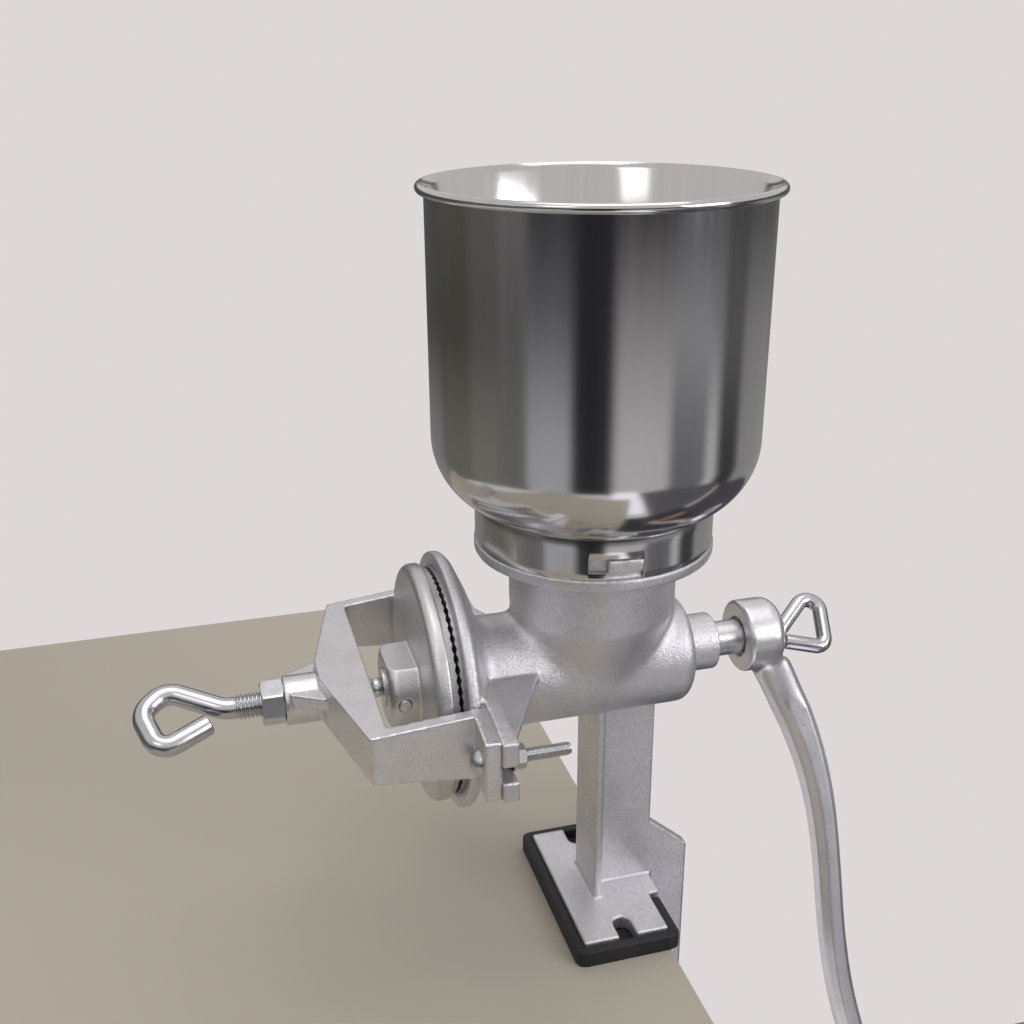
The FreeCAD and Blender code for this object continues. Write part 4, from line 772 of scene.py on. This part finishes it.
def yokeNuts():
    low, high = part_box("yoke_nuts")
    nuts = [nutShape(f"nut{side}", yokeBolt["nutFlats"], high.x - low.x, yokeBolt["crest"], xAxis,
                     boltLine(low.x, side), turn=math.radians(30)) for side in (-1, 1)]
    item = joinInto("yokeNuts", nuts)
    smoothShade(item, 22)
    return dress(item, "root", finishes["screws"], "screw_steel", "yoke_nuts")


def yokeWashers():
    low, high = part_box("yoke_washers")
    thick = high.x - low.x
    hole, reach, edge = yokeBolt["washer"]
    corners = [(0, hole), (0, reach, edge), (thick, reach, edge), (thick, hole)]
    rims = [turned(f"washer{side}", corners, xAxis, boltLine(low.x, side), 64, step=30) for side in (-1, 1)]
    item = joinInto("yokeWashers", rims)
    smoothShade(item, 30)
    return dress(item, "root", finishes["screws"], "screw_steel", "yoke_washers")


def yokeBolts():
    seat, rise, reach = yokeBolt["seat"], yokeBolt["headRise"], yokeBolt["headReach"]
    crest, plainEnd, lap = yokeBolt["crest"], yokeBolt["plainEnd"], 0.2 * mm
    dome = (reach ** 2 + rise ** 2) / (2 * rise)
    crown = math.asin(reach / dome)
    angles = [crown * (1 - part / 14) for part in range(15)]
    head = [(seat, 0), (seat, reach - lap)]
    head += [(seat - rise + dome * (1 - math.cos(a)), dome * math.sin(a)) for a in angles]
    neck = [(seat - lap, 0), (seat - lap, crest), (plainEnd, crest), (plainEnd, 0)]
    bolts = []
    for side, end in ((-1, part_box("yoke_bolts")[1].x), (1, yokeBolt["farEnd"])):
        middle = boltLine(0, side)
        bolts.append(turned(f"head{side}", head, xAxis, middle, 64, closed=False))
        bolts.append(turned(f"neck{side}", neck, xAxis, middle, 40, closed=False))
        thread = threadRings(plainEnd - 0.1 * mm, end, yokeBolt["core"], crest, yokeBolt["pitch"], 32, 1.5)
        bolts.append(placeShape(shellFromRings(f"rod{side}", thread), Matrix.Translation(middle)))
    item = joinInto("yokeBolts", bolts)
    smoothShade(item, 40)
    return dress(item, "root", finishes["screws"], "screw_steel", "yoke_bolts")


locknut()
yokeNuts()
yokeWashers()
yokeBolts()
print("nuts and bolts made")


# Small turned pieces on the shaft and the crank
def lineThrough(node):
    low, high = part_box(node)
    return Vector((0, (low.y + high.y) / 2, (low.z + high.z) / 2)), low, high


def crankWasher():
    middle, low, high = lineThrough("crank_washer")
    thick, hole, reach, edge = high.x - low.x, 3.4 * mm, 9 * mm, 0.35 * mm
    corners = [(0, hole), (0, reach, edge), (thick, reach, edge), (thick, hole)]
    item = turned("crankWasher", corners, xAxis, middle + xAxis * low.x, 96, step=18)
    return dress(item, "crank_washer", finishes["zinc"], "zinc_rod", "crank_washer")


def rotorPin():
    low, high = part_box("rotor_pin")
    length, radius = high.y - low.y, 2.5 * mm
    middle = Vector(((low.x + high.x) / 2, low.y, (low.z + high.z) / 2))
    corners = [(0, 0), (0, radius, 0.5 * mm), (length, radius, 0.5 * mm), (length, 0)]
    item = turned("rotorPin", corners, yAxis, middle, 48, closed=False, step=15)
    return dress(item, "rotor", finishes["screws"], "screw_steel", "rotor_pin")


crankWasher()
rotorPin()
print("shaft fittings made")


# Grip and its fittings
grip = {
    "neck": 10.9 * mm,
    "waist": 15.4 * mm,                 # largest radius
    "shoulder": 14.7 * mm,
    "nose": 9.6 * mm,
    "bore": 4.3 * mm,
    "edge": 0.9 * mm,
    "lead": 0.7 * mm,                   # chamfer at both ends of the bore
}
gripLine, gripLow, gripHigh = lineThrough("grip")


def woodenGrip():
    neck, waist, shoulder, nose = (grip[key] for key in ("neck", "waist", "shoulder", "nose"))
    bore, edge, lead = grip["bore"], grip["edge"], grip["lead"]
    length = gripHigh.x - gripLow.x
    swell, fall = 0.62 * length, 0.925 * length
    corners = [(lead, bore), (0, bore + lead), (0, neck - edge)]
    for part in range(1, 7):
        angle = math.pi / 2 * part / 6
        corners.append((edge * (1 - math.cos(angle)), neck - edge * (1 - math.sin(angle))))
    for part in range(1, 31):
        share = (1 - math.cos(math.pi * part / 30)) / 2
        corners.append((edge + (swell - edge) * part / 30, neck + (waist - neck) * share))
    for part in range(1, 13):
        share = 1 - math.cos(math.pi / 2 * part / 12)
        corners.append((swell + (fall - swell) * part / 12, waist - (waist - shoulder) * share))
    for part in range(1, 15):
        angle = math.pi / 2 * part / 14
        corners.append((fall + (length - fall) * math.sin(angle), nose + (shoulder - nose) * math.cos(angle)))
    corners += [(length, bore + lead), (length - lead, bore)]
    item = turned("woodenGrip", corners, xAxis, gripLine + xAxis * gripLow.x, 128)
    return dress(item, "grip", finishes["wood"], "grip_wood", "grip")


spindle = {"head": 4.5 * mm, "headReach": 7.5 * mm, "shank": 4 * mm, "core": 3.24 * mm, "pitch": 1.25 * mm,
           "threaded": 8.5 * mm}


def gripSpindle():
    middle, low, high = lineThrough("grip_spindle")
    seat, eye = high.x - spindle["head"], low.x + spindle["threaded"]
    reach, shankRadius, lap = spindle["headReach"], spindle["shank"], 0.4 * mm
    corners = [(seat, 0), (seat, reach, 0.4 * mm), (high.x, reach, 2.4 * mm), (high.x, 0)]
    head = turned("spindleHead", corners, xAxis, middle, 96, closed=False)
    plainEnd = seat + 0.3 * mm
    corners = [(eye - lap, 0), (eye - lap, shankRadius), (plainEnd, shankRadius), (plainEnd, 0)]
    shank = turned("spindleShank", corners, xAxis, middle, 64, closed=False)
    thread = threadRings(eye, low.x, spindle["core"], shankRadius, spindle["pitch"], 48, 1.2)
    rod = placeShape(shellFromRings("spindleThread", thread), Matrix.Translation(middle))
    item = joinInto("gripSpindle", [head, shank, rod])
    smoothShade(item, 40)
    return dress(item, "rotor", finishes["zinc"], "zinc_rod", "grip_spindle")


def gripWashers():
    middle, low, high = lineThrough("grip_washers")
    thick, hole, reach, edge = 1.5 * mm, 4.1 * mm, 9 * mm, 0.35 * mm
    corners = [(0, hole), (0, reach, edge), (thick, reach, edge), (thick, hole)]
    rings = [turned(f"gripWasher{x:.3f}", corners, xAxis, middle + xAxis * x, 96, step=18)
             for x in (low.x, high.x - thick)]
    item = joinInto("gripWashers", rings)
    smoothShade(item, 30)
    return dress(item, "rotor", finishes["zinc"], "zinc_rod", "grip_washers")


def gripNut():
    low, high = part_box("grip_nut")
    item = nutShape("gripNut", 13 * mm, high.x - low.x, 3.9 * mm, xAxis, gripLine + xAxis * low.x,
                    turn=math.radians(50))
    return dress(item, "rotor", finishes["zinc"], "zinc_rod", "grip_nut")


def clampPad():
    low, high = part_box("clamp_pad")
    middle = Vector(((low.x + high.x) / 2, (low.y + high.y) / 2, 0))
    under, face, hub, socket, floor = low.z + 6.5 * mm, 13 * mm, 7.5 * mm, 3.1 * mm, low.z + 2.6 * mm
    corners = [(high.z, 0), (high.z, face, 1.0 * mm), (under, face, 0.6 * mm), (under, hub, 1.0 * mm),
               (low.z, hub, 0.7 * mm), (low.z, socket), (floor, socket), (floor, 0)]
    item = turned("clampPad", corners, zAxis, middle, 96, closed=False, step=12)
    return dress(item, "clamp_pad", finishes["zinc"], "zinc_rod", "clamp_pad")


woodenGrip()
gripSpindle()
gripWashers()
gripNut()
clampPad()
print("grip and clamp pad made")


# Pieces that keep the shape they were built with
kept = {
    "fixed_burr": "burr", "moving_burr": "burr", "fixed_burr_screws": "screws",
    "moving_burr_screws": "screws", "auger": "auger", "thrust_ball": "ball",
}
for node, finish in kept.items():
    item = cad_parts[node]
    item.data.materials.clear()
    item.data.materials.append(finishes[finish])
    smoothShade(item, 30)


# Stage
stageLook = {
    "background": (0.725, 0.685, 0.69),
    "bench": (0.45, 0.42, 0.35),
    "benchRight": 24.2 * mm,
    "benchLeft": -330 * mm,
    "benchNear": -330 * mm,
    "benchFar": 330 * mm,
    "benchThick": 26 * mm,
}


def makeBench():
    look = stageLook
    left, right, near, far = (look[key] for key in ("benchLeft", "benchRight", "benchNear", "benchFar"))
    size = Vector((right - left, far - near, look["benchThick"]))
    middle = Vector(((right + left) / 2, (far + near) / 2, -look["benchThick"] / 2))
    shell = bmesh.new()
    bmesh.ops.create_cube(shell, size=1.0)
    place = Matrix.Translation(middle) @ Matrix.Diagonal((*size, 1))
    bmesh.ops.transform(shell, matrix=place, verts=shell.verts)
    item = linkMesh("bench", [], [])
    shell.to_mesh(item.data)
    shell.free()
    item.data.materials.append(plainFinish("benchPaint", look["bench"], 0.75))


# each lamp's place, what it faces, its side, its power in watts and its colour
lamps = {
    "skyLight": ((0.1, 0.0, 1.45), (0, 0, 0.15), 1.0, 5, (1, 1, 1)),
    "keyLight": ((-0.75, -0.7, 1.1), (0, 0, 0.15), 0.4, 0.8, (1, 1, 1)),
    "fillLight": ((0.95, -0.95, 0.6), (0, 0, 0.12), 0.7, 6, (0.97, 0.95, 1.0)),
}


def areaLight(name, place, target, side, power, colour):
    data = bpy.data.lights.new(name, "AREA")
    data.shape = "SQUARE"
    data.size = side
    data.energy = power
    data.color = colour
    item = bpy.data.objects.new(name, data)
    item.location = place
    item.rotation_euler = (Vector(target) - Vector(place)).to_track_quat("-Z", "Y").to_euler()
    bpy.context.scene.collection.objects.link(item)


def lightStage():
    scene = bpy.context.scene
    scene.view_settings.view_transform = "Standard"
    world = bpy.data.worlds.new("paleRoom")
    scene.world = world
    world.use_nodes = True
    paint = world.node_tree.nodes["Background"]
    paint.inputs["Color"].default_value = (*stageLook["background"], 1)
    paint.inputs["Strength"].default_value = 1.0
    for name, lamp in lamps.items():
        areaLight(name, *lamp)


# A ring of soft cards round the set, out of the camera's sight. Each has its middle and width in
# degrees about the hopper, seen from above with the front at 0 and the right at 90, then its tint
# and its brightness at the top, in the middle and at the bottom
cardRing = {"radius": 1.6, "heights": (0.55, 0.10, -0.10, -0.31, -0.75), "blend": 6.0, "step": 2}
cards = [
    ((1.0, 0.97, 1.0), -171, 50, (0.09, 0.08, 0.24)),
    ((1.0, 0.98, 0.84), -128, 36, (0.10, 0.07, 0.17)),
    ((1.0, 0.98, 0.88), -98, 24, (0.13, 0.10, 0.22)),
    ((1.0, 0.92, 0.90), -75.5, 21, (0.17, 0.13, 0.18)),
    ((0.97, 0.98, 1.04), -50, 30, (0.05, 0.15, 0.48)),
    ((0.95, 0.95, 1.1), -21.5, 27, (0.025, 0.025, 0.025)),
    ((1.0, 0.97, 0.99), 11, 38, (0.05, 0.33, 0.60)),
    ((0.97, 0.97, 1.05), 44, 28, (0.07, 0.35, 0.17)),
    ((1.0, 0.99, 1.0), 63, 10, (0.12, 0.28, 0.60)),
    ((1.0, 0.97, 1.0), 78.5, 21, (0.08, 0.13, 0.05)),
    ((1.0, 0.98, 1.0), 108, 38, (0.11, 0.27, 0.32)),
    ((1.0, 0.95, 0.92), 145.5, 37, (0.15, 0.22, 0.32)),
]
# Level cards below the table's edge, seen only in the metal: a dark one under the mill, a bright
# one in front of it and two dim ones on the right
floorCards = {
    "darkFloor": ((0.03, -0.26), (0.5, 0.8), -0.42, (0.05, 0.05, 0.06)),
    "brightFloor": ((-0.15, -1.45), (0.24, -0.42), -0.55, (1.3, 1.26, 1.38)),
    "farFloor": ((0.08, -0.25), (1.5, 1.5), -0.62, (0.08, 0.075, 0.09)),
    "sideFloor": ((0.3, -1.45), (1.5, -0.3), -0.62, (0.12, 0.115, 0.13)),
}


def cardColour(angle, band):
    total, colour = 0.0, [0.0, 0.0, 0.0]
    for tint, middle, width, levels in cards:
        away = abs((angle - middle + 180) % 360 - 180) - width / 2
        weight = min(1.0, max(0.0, 0.5 - away / cardRing["blend"]))
        total += weight
        for channel in range(3):
            colour[channel] += weight * tint[channel] * levels[band]
    return tuple(c / max(total, 1e-3) for c in colour)


def glowMaterial(name):
    material = bpy.data.materials.new(name)
    material.use_nodes = True
    tree = material.node_tree
    tree.nodes.clear()
    painted = tree.nodes.new("ShaderNodeAttribute")
    painted.attribute_name = "glow"
    glow = tree.nodes.new("ShaderNodeEmission")
    tree.links.new(painted.outputs["Color"], glow.inputs["Color"])
    out = tree.nodes.new("ShaderNodeOutputMaterial")
    tree.links.new(glow.outputs["Emission"], out.inputs["Surface"])
    return material


def stageCard(name, points, faces, colours, material):
    item = linkMesh(name, points, faces)
    paint = item.data.color_attributes.new("glow", "FLOAT_COLOR", "POINT")
    for index, colour in enumerate(colours):
        paint.data[index].color = (*colour, 1)
    item.data.materials.append(material)
    item.visible_camera = False
    item.visible_shadow = False


def makeCards():
    material = glowMaterial("cardGlow")
    heights = cardRing["heights"]
    bands = (0, 0, 1, 2, 2)
    count, rows = 360 // cardRing["step"], len(heights)
    points, colours, faces = [], [], []
    for column in range(count):
        angle = column * cardRing["step"]
        turn = math.radians(angle)
        x, y = cardRing["radius"] * math.sin(turn), -cardRing["radius"] * math.cos(turn)
        for height, band in zip(heights, bands):
            points.append(Vector((x, y, height)))
            colours.append(cardColour(angle, band))
        following = (column + 1) % count
        for row in range(rows - 1):
            faces.append((column * rows + row, following * rows + row,
                          following * rows + row + 1, column * rows + row + 1))
    stageCard("cardRing", points, faces, colours, material)
    for name, (near, far, height, level) in floorCards.items():
        points = [Vector((x, y, height)) for x, y in (near, (far[0], near[1]), far, (near[0], far[1]))]
        stageCard(name, points, [(0, 1, 2, 3)], [level] * 4, material)


placeCamera()
makeBench()
lightStage()
makeCards()
print("stage made")
